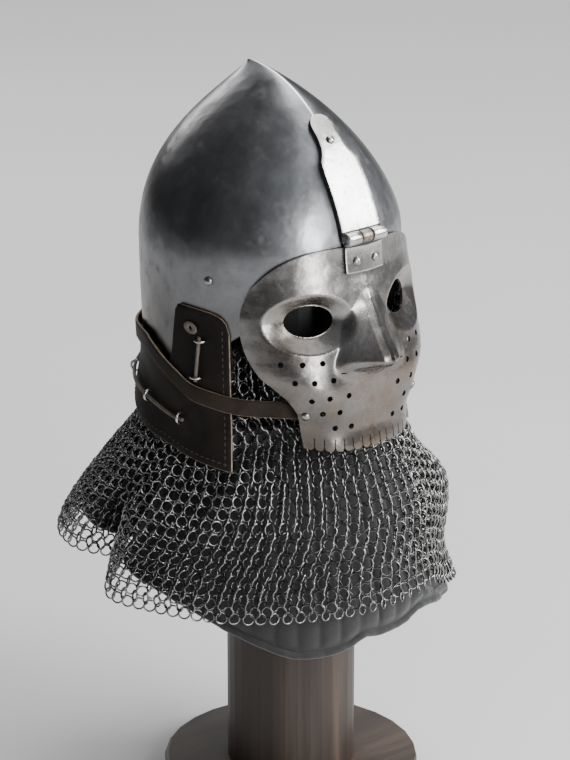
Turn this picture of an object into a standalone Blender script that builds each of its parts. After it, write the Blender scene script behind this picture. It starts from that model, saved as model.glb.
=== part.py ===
"""Bascinet with a hinged mask visor, a mail aventail and a padded collar, on a plain wooden stand.

Metres, +Z up. The helmet faces -Y and the wearer's right hand is on -X. The origin is the middle
of the underside of the stand's base.
"""
import math

import bmesh
import bpy
import numpy as np
from mathutils import Matrix, Vector

# Stand
BASE_DIAMETER = 0.220
BASE_THICKNESS = 0.018
BASE_EDGE_ROUNDING = 0.003
BASE_SIDES = 30
POST_DIAMETER = 0.110
POST_SIDES = 32

# Bowl of the helmet, its outside
RIM_HEIGHT = 0.355
BOWL_HEIGHT = 0.2755
BOWL_HALF_WIDTH = 0.108
BOWL_FRONT_REACH = 0.142
BOWL_BACK_REACH = 0.0848
APEX_SETBACK = 0.0546
CREASE_SHIFT = 0.105
NAPE_TUCK = 0.012
NAPE_RISE = 0.020
STEEL = 0.002
BOWL_COLUMNS = 36
BOWL_LOWER_ROWS = 3
BOWL_UPPER_ROWS = 7

# Face opening of the bowl, seen from the side
OPENING_SIDE_SETBACK = 0.0616
OPENING_BROW_HEIGHT = 0.131

# Visor
VISOR_DROP = 0.017
VISOR_HEIGHT = 0.168
VISOR_ANGLE = math.radians(54)
VISOR_STANDOFF = 0.0012
VISOR_STEEL = 0.002
VISOR_BULGE = 0.0145
VISOR_EDGE_BULGE = 0.0055
VISOR_CHEEK_BULGE = 0.0085
VISOR_CHEEK_PLACE = 0.7
VISOR_COLUMNS = 22
VISOR_ROWS = 16
EYE_SPACING = 0.0935
EYE_SHIFT = 0.0025
EYE_LEVEL = 0.647
EYE_HOLE_WIDTH = 0.041
EYE_HOLE_HEIGHT = 0.0255
EYE_DISH_WIDTH = 0.062
EYE_DISH_HEIGHT = 0.048
EYE_DISH_DEPTH = 0.008
EYE_DISH_ROUNDING = 0.15
NOSE_REACH = 0.027
NOSE_WIDTH = 0.062
NOSE_HOLLOW = 1.15
NOSTRIL_LENGTH = 0.006
NOSTRIL_WIDTH = 0.0012
BREATH_HOLE_DIAMETER = 0.0048
BREATH_HOLE_SIDES = 6
EYE_HOLE_SIDES = 20
TOOTH_PITCH = 0.0084
TOOTH_SLIT_HEIGHT = 0.0105
TOOTH_SLIT_WIDTH = 0.0008
TOOTH_CORNER = 0.0035
TOOTH_CORNER_SIDES = 2
TOOTH_SLITS = 14
TOOTH_LEAN_RISE = 0.005

# Brow hinge
HINGE_WIDTH = 0.040
HINGE_PLATE = 0.003
BARREL_DIAMETER = 0.011
BARREL_RISE = 0.006
MIDDLE_KNUCKLE = 0.0105
PIN_DIAMETER = 0.0046
PIN_STICKOUT = 0.0008
UPPER_LEAF_LENGTH = 0.104
UPPER_LEAF_TIP_WIDTH = 0.023
LOWER_LEAF_LENGTH = 0.029
LOWER_LEAF_WIDTH = 0.038
LOWER_LEAF_ROWS = 4
LOWER_RIVET_DROP = 0.0190
LOWER_RIVET_SPACING = 0.0196
RIVET_DIAMETER = 0.0075
RIVET_HEIGHT = 0.0024
RIVET_SIDES = 8
SIDE_RIVET_ANGLE = math.radians(67.5)
SIDE_RIVET_LEVEL = 0.443

# Leather
LEATHER = 0.0025
LEATHER_STANDOFF = 0.0006
NAPE_START_DEGREES = 85
NAPE_BLEND_DEGREES = 40
LEATHER_FLARE = 0.004
LEATHER_FLARE_SPAN = 0.044
NAPE_FLARE = 0.005
NAPE_FLARE_SPAN = 0.008
NAPE_FLARE_RISE = 0.0385
LEATHER_ROWS = 4
STRAP_WIDTH = 0.014
STRAP_THICKNESS = 0.0024
STRAP_RISE_DEGREES = 38
STRAP_BLEND_DEGREES = 16
STRAP_COLUMNS = 48
STRAP_ANGLE = math.radians(22.5)
STRAP_RIVET_ANGLE = math.radians(27)

# Lacing of the leather to the bowl
LACE_DIAMETER = 0.003
LACE_STANDOFF = 0.0013
STAPLE_RADIUS = 0.0046
STAPLE_WIRE = 0.0021
LACE_END_LENGTH = 0.0135
LACE_END_WIDTH = 0.0095
LACE_END_HOLE = 0.0032
LACE_END_HEIGHT = 0.0026
LACE_END_SIDES = 10
LACE_END_TILT = math.radians(20)
STAPLE_BENDS = 4

# Mail curtain and padded collar
MAIL_CENTRE_SETBACK = 0.044
MAIL_HALF_WIDTH = 0.165
MAIL_HALF_DEPTH = 0.170
MAIL_HEM_HEIGHT = 0.198
MAIL_WALL = 0.003
MAIL_FOLD_START = 1.15
MAIL_SIDE_DEGREES = 60
MAIL_COLUMNS = 48
MAIL_ROWS = 6
COLLAR_HALF_WIDTH = 0.148
COLLAR_HALF_DEPTH = 0.160
COLLAR_HEM_HEIGHT = 0.160
COLLAR_WALL = 0.008
COLLAR_TOP_DROP = 0.005
COLLAR_ROOM = 0.0075
COLLAR_NECK_RISE = 0.020
COLLAR_LIP = 0.003
COLLAR_FLARE = 1.0
COLLAR_SIDE_SPREAD = 0.07
COLLAR_SIDE_DEGREES = 55
COLLAR_SIDE_BLEND = 35

# Clearance between pieces that touch
CLEARANCE = 0.0003

# Steps over which the slope of a surface is measured
SLOPE_TURN = 0.02
SLOPE_RISE = 0.004

APEX_HEIGHT = RIM_HEIGHT + BOWL_HEIGHT
VISOR_BOTTOM = RIM_HEIGHT - VISOR_DROP
VISOR_TOP = VISOR_BOTTOM + VISOR_HEIGHT


# Small mathematics
def smooth(t):
    """Ease from 0 to 1 with level ends."""
    t = min(max(t, 0.0), 1.0)
    return t * t * (3 - 2 * t)


def lookup(rows, key, column):
    """Straight interpolation in one column of a table whose first column rises."""
    return float(np.interp(key, [row[0] for row in rows], [row[column] for row in rows]))


def eased(rows, key, column):
    """Smooth interpolation in one column of a table whose first column rises."""
    keys = [row[0] for row in rows]
    if key <= keys[0]:
        return rows[0][column]
    if key >= keys[-1]:
        return rows[-1][column]
    i = int(np.searchsorted(keys, key, side="right")) - 1
    span = keys[i + 1] - keys[i]
    t = (key - keys[i]) / span
    values = [row[column] for row in rows]

    def slope(j):
        if j == 0 or j == len(keys) - 1:
            return 0.0
        left = (values[j] - values[j - 1]) / (keys[j] - keys[j - 1])
        right = (values[j + 1] - values[j]) / (keys[j + 1] - keys[j])
        if left * right <= 0:
            return 0.0
        return 2 * left * right / (left + right)

    h00 = 2 * t**3 - 3 * t**2 + 1
    h10 = t**3 - 2 * t**2 + t
    h01 = 3 * t**2 - 2 * t**3
    h11 = t**3 - t**2
    return h00 * values[i] + h10 * span * slope(i) + h01 * values[i + 1] + h11 * span * slope(i + 1)


def spread(first, last, count):
    """Evenly spaced values, both ends included."""
    return [first + (last - first) * i / (count - 1) for i in range(count)]


# Shape of the bowl
# Shares of the bowl's height where each side starts to close, and how it closes
SIDE_TAPER = (0.4755, 1.90, 1.03)
FRONT_TAPER = (0.5445, 1.35, 0.47)
BACK_TAPER = (0.5263, 2.36, 1.20)


def taper(z, rule):
    """Share of the full reach that the bowl still has at a height."""
    start, power, root = rule
    share = (z - RIM_HEIGHT) / BOWL_HEIGHT
    t = min(max((share - start) / (1 - start), 0.0), 1.0)
    return max(1 - t**power, 0.0) ** root


def bowl_outside(angle, z):
    """Point of the bowl's outside at an angle from the front, positive to the wearer's left."""
    half_width = BOWL_HALF_WIDTH * taper(z, SIDE_TAPER)
    front = BOWL_FRONT_REACH * taper(z, FRONT_TAPER)
    back = BOWL_BACK_REACH * taper(z, BACK_TAPER)
    drop = max((RIM_HEIGHT + BACK_TAPER[0] * BOWL_HEIGHT - z) / BOWL_HEIGHT, 0.0)
    back -= NAPE_TUCK * (drop / BACK_TAPER[0]) ** 2
    centre_y = APEX_SETBACK + (back - front) / 2
    half_depth = (front + back) / 2
    turn = abs(angle)
    side = -1 if angle < 0 else 1
    if turn < math.pi / 2:
        shift = CREASE_SHIFT * half_width
        first = math.asin(shift / (half_width + shift)) if half_width > 0 else 0.0
        tilted = first + (math.pi / 2 - first) * turn / (math.pi / 2)
        x = (half_width + shift) * math.sin(tilted) - shift
        y = centre_y - half_depth * math.cos(tilted) / math.cos(first)
    else:
        x = half_width * math.sin(turn)
        y = centre_y - half_depth * math.cos(turn)
    return Vector((side * x, y, z))


def bowl_point(angle, z, offset):
    """Point at a distance outside the bowl, along its normal."""
    z = min(z, APEX_HEIGHT - 2 * SLOPE_RISE)
    along = bowl_outside(angle + SLOPE_TURN, z) - bowl_outside(angle - SLOPE_TURN, z)
    if abs(angle) < SLOPE_TURN:
        along = Vector((1, 0, 0))
    up = bowl_outside(angle, z + SLOPE_RISE) - bowl_outside(angle, z - SLOPE_RISE)
    normal = along.cross(up).normalized()
    return bowl_outside(angle, z) + normal * offset


def rim_height(angle):
    """Lower edge of the bowl, which rises towards the nape."""
    return RIM_HEIGHT + NAPE_RISE * smooth((abs(math.degrees(angle)) - 80) / 80)


def bowl_rows(angle):
    """Heights of one column's points from the rim to just under the apex."""
    knee = RIM_HEIGHT + SIDE_TAPER[0] * BOWL_HEIGHT
    low = rim_height(angle)
    heights = spread(low, knee, BOWL_LOWER_ROWS + 1)
    for i in range(1, BOWL_UPPER_ROWS + 1):
        share = i / (BOWL_UPPER_ROWS + 1)
        heights.append(knee + (APEX_HEIGHT - knee) * math.sin(share * math.pi / 2))
    return heights


def bowl_angles():
    """Angles of the bowl's columns, once round."""
    return [math.tau * (i / BOWL_COLUMNS) - math.pi for i in range(BOWL_COLUMNS)]


# Shape of the visor
# Height share of a row at its edge and at the middle, and the edge's share of the visor's angle
VISOR_ROWS_TABLE = (
    # row, edge angle, edge height, middle height
    (0.00, 0.506, 0.018, 0.000),
    (0.10, 0.527, 0.102, 0.095),
    (0.20, 0.550, 0.190, 0.190),
    (0.28, 0.612, 0.262, 0.268),
    (0.35, 0.715, 0.330, 0.342),
    (0.42, 0.812, 0.384, 0.410),
    (0.50, 0.886, 0.450, 0.485),
    (0.58, 0.938, 0.520, 0.560),
    (0.68, 0.966, 0.600, 0.650),
    (0.80, 0.968, 0.680, 0.760),
    (0.90, 0.945, 0.748, 0.880),
    (1.00, 0.900, 0.808, 1.000),
)
VISOR_ARCH_POWER = 3.6
# How far the plate stands out, by height share, as shares of the middle, edge and cheek bulges
VISOR_BULGE_TABLE = (
    # height, middle, edge, cheek
    (0.00, 1.20, 1.00, 0.20),
    (0.12, 1.00, 0.75, 0.35),
    (0.22, 1.00, 0.55, 0.90),
    (0.33, 1.04, 0.45, 1.00),
    (0.40, 1.00, 0.45, 0.84),
    (0.47, 0.90, 0.45, 0.56),
    (0.55, 0.75, 0.42, 0.42),
    (0.66, 0.55, 0.38, 0.30),
    (0.77, 0.40, 0.20, 0.10),
    (0.88, 0.12, 0.05, 0.03),
    (1.00, 0.00, 0.00, 0.00),
)
# Nose, by height share: reach and half-width as shares of the nose's own sizes
NOSE_TABLE = (
    # height, reach, half-width
    (0.350, 0.00, 0.95),
    (0.395, 0.22, 1.00),
    (0.440, 0.80, 1.00),
    (0.472, 1.00, 0.96),
    (0.560, 0.70, 0.78),
    (0.660, 0.36, 0.58),
    (0.740, 0.10, 0.36),
    (0.790, 0.00, 0.25),
)


def visor_height(share):
    """World height of a share of the visor's height."""
    return VISOR_BOTTOM + share * VISOR_HEIGHT


def visor_edge_angle(share):
    """Angle of the visor's side edge at a height share."""
    rows = [(row[2], row[1]) for row in VISOR_ROWS_TABLE]
    return VISOR_ANGLE * lookup(rows, share, 1)


def visor_offset(angle, z):
    """How far the visor's outside stands off the bowl."""
    share = (z - VISOR_BOTTOM) / VISOR_HEIGHT
    across = min(abs(angle) / visor_edge_angle(share), 1.0)
    middle = VISOR_BULGE * eased(VISOR_BULGE_TABLE, share, 1)
    edge = VISOR_EDGE_BULGE * eased(VISOR_BULGE_TABLE, share, 2)
    cheek = VISOR_CHEEK_BULGE * eased(VISOR_BULGE_TABLE, share, 3) * smooth(across / VISOR_CHEEK_PLACE)
    out = VISOR_STANDOFF + VISOR_STEEL + edge + (middle - edge) * (1 - across**3) + cheek
    x = bowl_outside(angle, z).x
    return out + nose_relief(abs(x), share) - eye_relief(x, z)


def nose_relief(x, share):
    """Height of the nose over the plate, by distance from the middle plane."""
    reach = NOSE_REACH * eased(NOSE_TABLE, share, 1)
    half_width = NOSE_WIDTH / 2 * eased(NOSE_TABLE, share, 2)
    return reach * max(1 - x / half_width, 0.0) ** NOSE_HOLLOW


def eye_place(side):
    """Distance of an eye's middle from the middle plane: both are a little to the wearer's left."""
    return side * EYE_SPACING / 2 + EYE_SHIFT


def eye_relief(x, z):
    """Depth of the dish round an eye hole, a cone with a little rounding at its outer edge."""
    across = (x - eye_place(-1 if x < EYE_SHIFT else 1)) / (EYE_DISH_WIDTH / 2)
    up = (z - visor_height(EYE_LEVEL)) / (EYE_DISH_HEIGHT / 2)
    hole = EYE_HOLE_WIDTH / EYE_DISH_WIDTH
    fall = (1 - math.hypot(across, up)) / (1 - hole)
    if fall < EYE_DISH_ROUNDING:
        fall = max(fall + EYE_DISH_ROUNDING, 0) ** 2 / (4 * EYE_DISH_ROUNDING)
    return EYE_DISH_DEPTH * min(fall, 1.0)


def visor_point(angle, z, offset=0.0):
    """Point on the visor's outside, or a little off it."""
    return bowl_point(angle, z, visor_offset(angle, z) + offset)


def visor_normal(angle, z):
    """Outward normal of the visor's outside."""
    along = visor_point(angle + SLOPE_TURN, z) - visor_point(angle - SLOPE_TURN, z)
    up = visor_point(angle, z + SLOPE_RISE / 2) - visor_point(angle, z - SLOPE_RISE / 2)
    return along.cross(up).normalized()


def visor_grid_point(across, row):
    """Angle and height of a grid point: across runs from -1 to 1 and row from 0 to 1."""
    angle = across * VISOR_ANGLE * eased(VISOR_ROWS_TABLE, row, 1)
    edge = eased(VISOR_ROWS_TABLE, row, 2)
    middle = eased(VISOR_ROWS_TABLE, row, 3)
    share = middle + (edge - middle) * abs(across) ** VISOR_ARCH_POWER
    return angle, visor_height(share)


# Shape of the leather and its strap
# Top and bottom edges of the leather, as heights over the rim in shares of the bowl's height
LEATHER_TABLE = (
    # degrees from the front, top, bottom
    (57.5, 0.285, -0.136),
    (59.0, 0.318, -0.136),
    (62.0, 0.338, -0.133),
    (68.0, 0.349, -0.126),
    (76.0, 0.354, -0.117),
    (82.5, 0.356, -0.108),
    (84.6, 0.338, -0.105),
    (86.5, 0.255, -0.102),
    (88.5, 0.185, -0.099),
    (94.0, 0.150, -0.091),
    (104.0, 0.165, -0.083),
    (113.0, 0.180, -0.070),
    (122.0, 0.180, -0.040),
    (135.0, 0.165, -0.018),
    (180.0, 0.160, -0.010),
)
# Further columns of the leather, in degrees, so that it stays round
LEATHER_BETWEEN = [65.0, 72.0, 80.0, 99.0, 111.0, 126.0, 144.0, 153.0, 162.0, 171.0]
# Middle line of the strap, as heights over the rim in shares of the bowl's height
STRAP_TABLE = (
    # degrees from the front, height
    (22.5, 0.055),
    (35.0, 0.060),
    (43.0, 0.064),
    (56.0, 0.071),
    (66.0, 0.081),
    (76.0, 0.093),
    (84.0, 0.121),
    (92.0, 0.147),
    (102.0, 0.180),
    (108.0, 0.196),
    (118.0, 0.196),
    (132.0, 0.180),
    (180.0, 0.168),
)


def leather_edges(angle):
    """Top and bottom heights of the leather at an angle."""
    degrees = abs(math.degrees(angle))
    top = RIM_HEIGHT + BOWL_HEIGHT * eased(LEATHER_TABLE, degrees, 1)
    bottom = RIM_HEIGHT + BOWL_HEIGHT * eased(LEATHER_TABLE, degrees, 2)
    return top, bottom


def leather_point(angle, z, offset=0.0):
    """Point on the leather's outside: it lies on the bowl and flares a little below the rim."""
    behind = smooth((abs(math.degrees(angle)) - NAPE_START_DEGREES) / NAPE_BLEND_DEGREES)
    span = LEATHER_FLARE_SPAN + NAPE_FLARE_SPAN * behind
    start = RIM_HEIGHT + NAPE_FLARE_RISE * behind
    flare = (LEATHER_FLARE + NAPE_FLARE * behind) * smooth((start - z) / span)
    return bowl_point(angle, z, LEATHER_STANDOFF + LEATHER + flare + offset)


def leather_normal(angle, z):
    """Outward normal of the leather's outside."""
    along = leather_point(angle + SLOPE_TURN, z) - leather_point(angle - SLOPE_TURN, z)
    up = leather_point(angle, z + SLOPE_RISE) - leather_point(angle, z - SLOPE_RISE)
    return along.cross(up).normalized()


def strap_height(angle):
    """Height of the strap's middle line at an angle."""
    return RIM_HEIGHT + BOWL_HEIGHT * eased(STRAP_TABLE, abs(math.degrees(angle)), 1)


def strap_point(angle, lift):
    """Point on the strap's outside, which passes over the leather and in behind the visor."""
    degrees = abs(math.degrees(angle))
    over_leather = LEATHER_STANDOFF + LEATHER + 2 * CLEARANCE + STRAP_THICKNESS
    behind_visor = VISOR_STANDOFF + STRAP_THICKNESS - 2 * CLEARANCE
    share = smooth((degrees - STRAP_RISE_DEGREES) / STRAP_BLEND_DEGREES)
    offset = behind_visor + (over_leather - behind_visor) * share
    return bowl_point(angle, strap_height(angle) + lift, offset)


# Shape of the mail and the collar
# Where the curtain leaves the head and how high its top edge stands, over the rim
MAIL_TOP_TABLE = (
    # degrees from the front, top edge, flare start, in shares of the bowl's height
    (0.0, 0.110, -0.045),
    (34.0, 0.120, -0.050),
    (44.0, 0.290, -0.080),
    (54.0, 0.300, -0.110),
    (60.0, 0.210, -0.150),
    (66.0, -0.050, -0.155),
    (73.0, -0.060, -0.150),
    (84.0, -0.070, -0.130),
    (104.0, -0.040, -0.085),
    (120.0, -0.015, -0.040),
    (180.0, -0.010, -0.030),
)
# Hem height, over or under the named hem, in shares of the hem's drop from the rim
MAIL_HEM_TABLE = (
    # degrees, share
    (-180.0, 0.17),
    (-122.0, 0.13),
    (-104.0, 0.10),
    (-95.0, 0.04),
    (-86.0, 0.00),
    (-50.0, 0.00),
    (19.0, 0.00),
    (40.0, -0.13),
    (56.0, -0.18),
    (80.0, -0.05),
    (100.0, 0.10),
    (122.0, 0.15),
    (180.0, 0.17),
)
# Folds of the hem: middle in degrees, depth as a share of the radius, half-width in degrees
MAIL_FOLDS = (
    (-101.0, -0.180, 7.0),
    (-124.0, 0.035, 10.0),
    (-152.0, -0.050, 9.0),
    (-84.0, 0.030, 8.0),
    (-30.0, -0.012, 12.0),
    (33.0, -0.012, 9.0),
    (52.0, 0.025, 12.0),
    (78.0, -0.045, 9.0),
    (104.0, -0.090, 9.0),
    (128.0, 0.030, 10.0),
    (156.0, -0.055, 9.0),
)
# Way out from the head to the hem, by share of the drop: at the front and at the back
MAIL_PROFILE = (
    # drop share, front, back, left front
    (0.00, 0.00, 0.00, 0.00),
    (0.10, 0.12, 0.08, 0.15),
    (0.20, 0.32, 0.18, 0.33),
    (0.32, 0.58, 0.32, 0.68),
    (0.44, 0.80, 0.47, 0.83),
    (0.56, 0.90, 0.61, 0.82),
    (0.75, 0.93, 0.82, 0.74),
    (0.90, 0.96, 0.95, 0.86),
    (1.00, 1.00, 1.00, 1.00),
)
# Lobe of the curtain over the wearer's left shoulder, in degrees
LEFT_LOBE_DEGREES = 52.0
LEFT_LOBE_SPREAD = 26.0
COLLAR_LEFT_SPREAD = 0.12
# Hem of the collar, over the named hem, in shares of the hem's drop from the rim
COLLAR_HEM_TABLE = (
    # degrees, rise
    (-180.0, 0.42),
    (-120.0, 0.40),
    (-95.0, 0.34),
    (-75.0, 0.27),
    (-60.0, 0.19),
    (-49.0, 0.12),
    (-41.0, 0.07),
    (-33.0, 0.023),
    (-28.0, 0.003),
    (-21.0, 0.0),
    (-12.0, 0.018),
    (-5.0, 0.055),
    (0.0, 0.045),
    (6.0, 0.045),
    (12.0, 0.056),
    (19.0, 0.082),
    (27.0, 0.070),
    (37.0, 0.043),
    (47.0, 0.012),
    (56.0, 0.0),
    (63.0, 0.08),
    (70.0, 0.18),
    (80.0, 0.30),
    (95.0, 0.36),
    (180.0, 0.42),
)


def wrap(degrees):
    """The same direction between -180 and 180 degrees."""
    return (degrees + 180) % 360 - 180


def fold_share(degrees):
    """Radius of the hem with its folds, as a share of the plain ellipse."""
    total = 1.0
    for middle, depth, half_width in MAIL_FOLDS:
        total += depth * math.exp(-(wrap(degrees - middle) / half_width) ** 2)
    return total


def left_share(angle):
    """How far a direction belongs to the lobe over the wearer's left shoulder, 0 to 1."""
    return math.exp(-(wrap(math.degrees(angle) - LEFT_LOBE_DEGREES) / LEFT_LOBE_SPREAD) ** 2)


def mail_levels(angle):
    """Top edge, start of the flare and hem of the curtain at an angle."""
    degrees = abs(math.degrees(angle))
    top = RIM_HEIGHT + BOWL_HEIGHT * eased(MAIL_TOP_TABLE, degrees, 1)
    if degrees < 90:
        top = min(top, opening_top(bowl_outside(angle, top).y) - 5 * CLEARANCE)
    flare = RIM_HEIGHT + BOWL_HEIGHT * eased(MAIL_TOP_TABLE, degrees, 2)
    drop = RIM_HEIGHT - MAIL_HEM_HEIGHT
    hem = MAIL_HEM_HEIGHT + drop * eased(MAIL_HEM_TABLE, math.degrees(angle), 1)
    return top, flare, hem


def mail_point(angle, z, offset=0.0):
    """Point on the curtain's outside, or a little off it."""
    flare, hem = mail_levels(angle)[1:]
    inside = bowl_point(angle, max(z, flare), offset - CLEARANCE - STEEL / 2)
    if z >= flare:
        return inside
    share = (flare - z) / (flare - hem)
    front = eased(MAIL_PROFILE, share, 1)
    back = eased(MAIL_PROFILE, share, 2)
    left = eased(MAIL_PROFILE, share, 3)
    behind = smooth((abs(math.degrees(angle)) - MAIL_SIDE_DEGREES) / MAIL_SIDE_DEGREES)
    out = front + (back - front) * behind
    out += (left - out) * left_share(angle)
    fold = 1 + (fold_share(math.degrees(angle)) - 1) * smooth(share * MAIL_FOLD_START)
    hem_x = (MAIL_HALF_WIDTH * fold + offset) * math.sin(angle)
    hem_y = MAIL_CENTRE_SETBACK - (MAIL_HALF_DEPTH * fold + offset) * math.cos(angle)
    x = inside.x + (hem_x - inside.x) * out
    y = inside.y + (hem_y - inside.y) * out
    return Vector((x, y, z))


def collar_levels(angle):
    """Top and hem of the collar at an angle."""
    drop = RIM_HEIGHT - COLLAR_HEM_HEIGHT
    hem = COLLAR_HEM_HEIGHT + drop * eased(COLLAR_HEM_TABLE, math.degrees(angle), 1)
    return RIM_HEIGHT - COLLAR_TOP_DROP, hem


def collar_lip(angle):
    """Height at which the collar starts to flare, just under the hem of the curtain."""
    return max(mail_levels(angle)[2] - COLLAR_LIP, collar_levels(angle)[1] + COLLAR_LIP)


def collar_point(angle, z, offset=0.0):
    """Point on the collar's outside, which runs straight from the neck to the curtain's hem."""
    flare = mail_levels(angle)[1]
    lip = collar_lip(angle)
    if not lip < z < flare:
        return collar_limit(angle, z, offset)
    low = collar_limit(angle, lip, offset)
    return low.lerp(collar_limit(angle, flare, offset), (z - lip) / (flare - lip))


def collar_limit(angle, z, offset):
    """Point as far out as the collar can reach inside and under the curtain."""
    flare, mail_hem = mail_levels(angle)[1:]
    inner = mail_point(angle, max(z, mail_hem), -MAIL_WALL - 2 * CLEARANCE + offset)
    centre = Vector((0, MAIL_CENTRE_SETBACK, z))
    reach = (Vector((inner.x, inner.y, z)) - centre).length
    behind = smooth((abs(math.degrees(angle)) - COLLAR_SIDE_DEGREES) / COLLAR_SIDE_BLEND)
    own = 1 + COLLAR_LEFT_SPREAD * left_share(angle) * (1 - behind) + COLLAR_SIDE_SPREAD * behind
    own_x = (COLLAR_HALF_WIDTH * own + offset) * math.sin(angle)
    own_y = (COLLAR_HALF_DEPTH * own + offset) * math.cos(angle)
    under_mail = max(mail_hem - COLLAR_LIP - z, 0)
    room = COLLAR_ROOM * (1 - smooth((z - flare) / COLLAR_NECK_RISE))
    reach = min(reach - room + COLLAR_FLARE * under_mail, math.hypot(own_x, own_y))
    direction = (Vector((inner.x, inner.y, z)) - centre).normalized()
    return centre + direction * reach


# Blender helpers
def clear_scene():
    """Remove every object that the file starts with."""
    for obj in list(bpy.data.objects):
        bpy.data.objects.remove(obj, do_unlink=True)


def new_collection(name):
    """Make a collection in the scene."""
    collection = bpy.data.collections.new(name)
    bpy.context.scene.collection.children.link(collection)
    return collection


def material(name, colour, roughness, metallic):
    """One Principled material."""
    mat = bpy.data.materials.new(name)
    mat.use_nodes = True
    shader = mat.node_tree.nodes["Principled BSDF"]
    shader.inputs["Base Color"].default_value = (*colour, 1)
    shader.inputs["Roughness"].default_value = roughness
    shader.inputs["Metallic"].default_value = metallic
    return mat


def add_object(name, data, collection, mat=None):
    """Link an object to a collection, with its material."""
    obj = bpy.data.objects.new(name, data)
    collection.objects.link(obj)
    if mat is not None:
        data.materials.append(mat)
    return obj


def mesh_from(bm, name):
    """Turn a bmesh into a smooth-shaded mesh with outward faces."""
    mesh = bpy.data.meshes.new(name)
    bm.to_mesh(mesh)
    bm.free()
    mesh.shade_smooth()
    mesh.set_sharp_from_angle(angle=math.radians(40))
    return mesh


def grid_mesh(name, columns, closed=False, apex=None):
    """Loft a mesh through columns of points, each from low to high."""
    bm = bmesh.new()
    verts = [[bm.verts.new(point) for point in column] for column in columns]
    count = len(verts)
    for i in range(count if closed else count - 1):
        left = verts[i]
        right = verts[(i + 1) % count]
        for j in range(len(left) - 1):
            bm.faces.new((left[j], right[j], right[j + 1], left[j + 1]))
    if apex is not None:
        top = bm.verts.new(apex)
        for i in range(count):
            bm.faces.new((verts[i][-1], verts[(i + 1) % count][-1], top))
    return mesh_from(bm, name)


def add_shell(obj, thickness, offset=-1):
    """Give an open surface its thickness, inward unless told otherwise."""
    shell = obj.modifiers.new("Thickness", "SOLIDIFY")
    shell.thickness = thickness
    shell.offset = offset
    shell.use_even_offset = True
    return shell


def add_boolean(obj, other, operation):
    """Cut or join with another object."""
    boolean = obj.modifiers.new(operation.title(), "BOOLEAN")
    boolean.operation = operation
    boolean.solver = "EXACT"
    boolean.object = other
    return boolean


def hide_cutter(obj):
    """Mark an object as a cutter or guide."""
    obj.hide_render = True
    obj.display_type = "WIRE"


def curve_object(name, splines, collection, mat, radius, resolution=1):
    """A round wire or rod through lists of points."""
    curve = bpy.data.curves.new(name, "CURVE")
    curve.dimensions = "3D"
    curve.bevel_depth = radius
    curve.bevel_resolution = resolution
    curve.use_fill_caps = True
    for points in splines:
        spline = curve.splines.new("POLY")
        spline.points.add(len(points) - 1)
        for target, point in zip(spline.points, points):
            target.co = (*point, 1)
    return add_object(name, curve, collection, mat)


def outline_mesh(name, points, depth, collection):
    """A flat outline with a thickness, as a mesh with welded caps."""
    curve = bpy.data.curves.new(name, "CURVE")
    curve.dimensions = "2D"
    curve.fill_mode = "BOTH"
    curve.extrude = depth / 2
    spline = curve.splines.new("POLY")
    spline.points.add(len(points) - 1)
    for target, point in zip(spline.points, points):
        target.co = (point[0], point[1], 0, 1)
    spline.use_cyclic_u = True
    obj = add_object(name, curve, collection)
    bpy.context.view_layer.update()
    evaluated = obj.evaluated_get(bpy.context.evaluated_depsgraph_get())
    mesh = bpy.data.meshes.new_from_object(evaluated)
    bpy.data.objects.remove(obj, do_unlink=True)
    bm = bmesh.new()
    bm.from_mesh(mesh)
    bmesh.ops.remove_doubles(bm, verts=bm.verts, dist=0.000001)
    bmesh.ops.recalc_face_normals(bm, faces=bm.faces)
    bm.to_mesh(mesh)
    bm.free()
    return mesh


def frame_matrix(origin, outward, up=Vector((0, 0, 1))):
    """Matrix whose local Z looks outward and whose local Y looks up."""
    z_axis = outward.normalized()
    x_axis = up.cross(z_axis).normalized()
    y_axis = z_axis.cross(x_axis)
    matrix = Matrix((x_axis, y_axis, z_axis)).transposed().to_4x4()
    matrix.translation = origin
    return matrix


def cylinder_x(bm, centre, radius, length, sides=16):
    """Add a cylinder along X to a bmesh."""
    turn = Matrix.Rotation(math.pi / 2, 4, "Y")
    bmesh.ops.create_cone(
        bm, cap_ends=True, segments=sides, radius1=radius, radius2=radius, depth=length,
        matrix=Matrix.Translation(centre) @ turn)


# Bowl
def make_skull(parts, cutters, mat):
    """The bowl: a raised steel shell with a medial crease and a face opening."""
    columns = []
    for angle in bowl_angles():
        columns.append([bowl_outside(angle, z) for z in bowl_rows(angle)])
    apex = Vector((0, APEX_SETBACK, APEX_HEIGHT))
    skull = add_object("skull", grid_mesh("skull", columns, True, apex), parts, mat)
    add_shell(skull, STEEL)
    add_boolean(skull, make_face_opening(cutters), "DIFFERENCE")
    return skull


# Edge of the face opening from the side: forward share of the front reach, height share
OPENING_TABLE = (
    (0.00, 0.300),
    (0.05, 0.420),
    (0.15, 0.490),
    (0.30, 0.545),
    (0.50, 0.655),
    (0.70, 0.805),
    (0.88, 0.940),
    (1.30, 1.000),
)


def opening_top(y):
    """Height of the top edge of the face opening, seen from the side."""
    side_y = APEX_SETBACK - OPENING_SIDE_SETBACK
    reach = BOWL_FRONT_REACH - OPENING_SIDE_SETBACK
    return RIM_HEIGHT + OPENING_BROW_HEIGHT * lookup(OPENING_TABLE, (side_y - y) / reach, 1)


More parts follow.
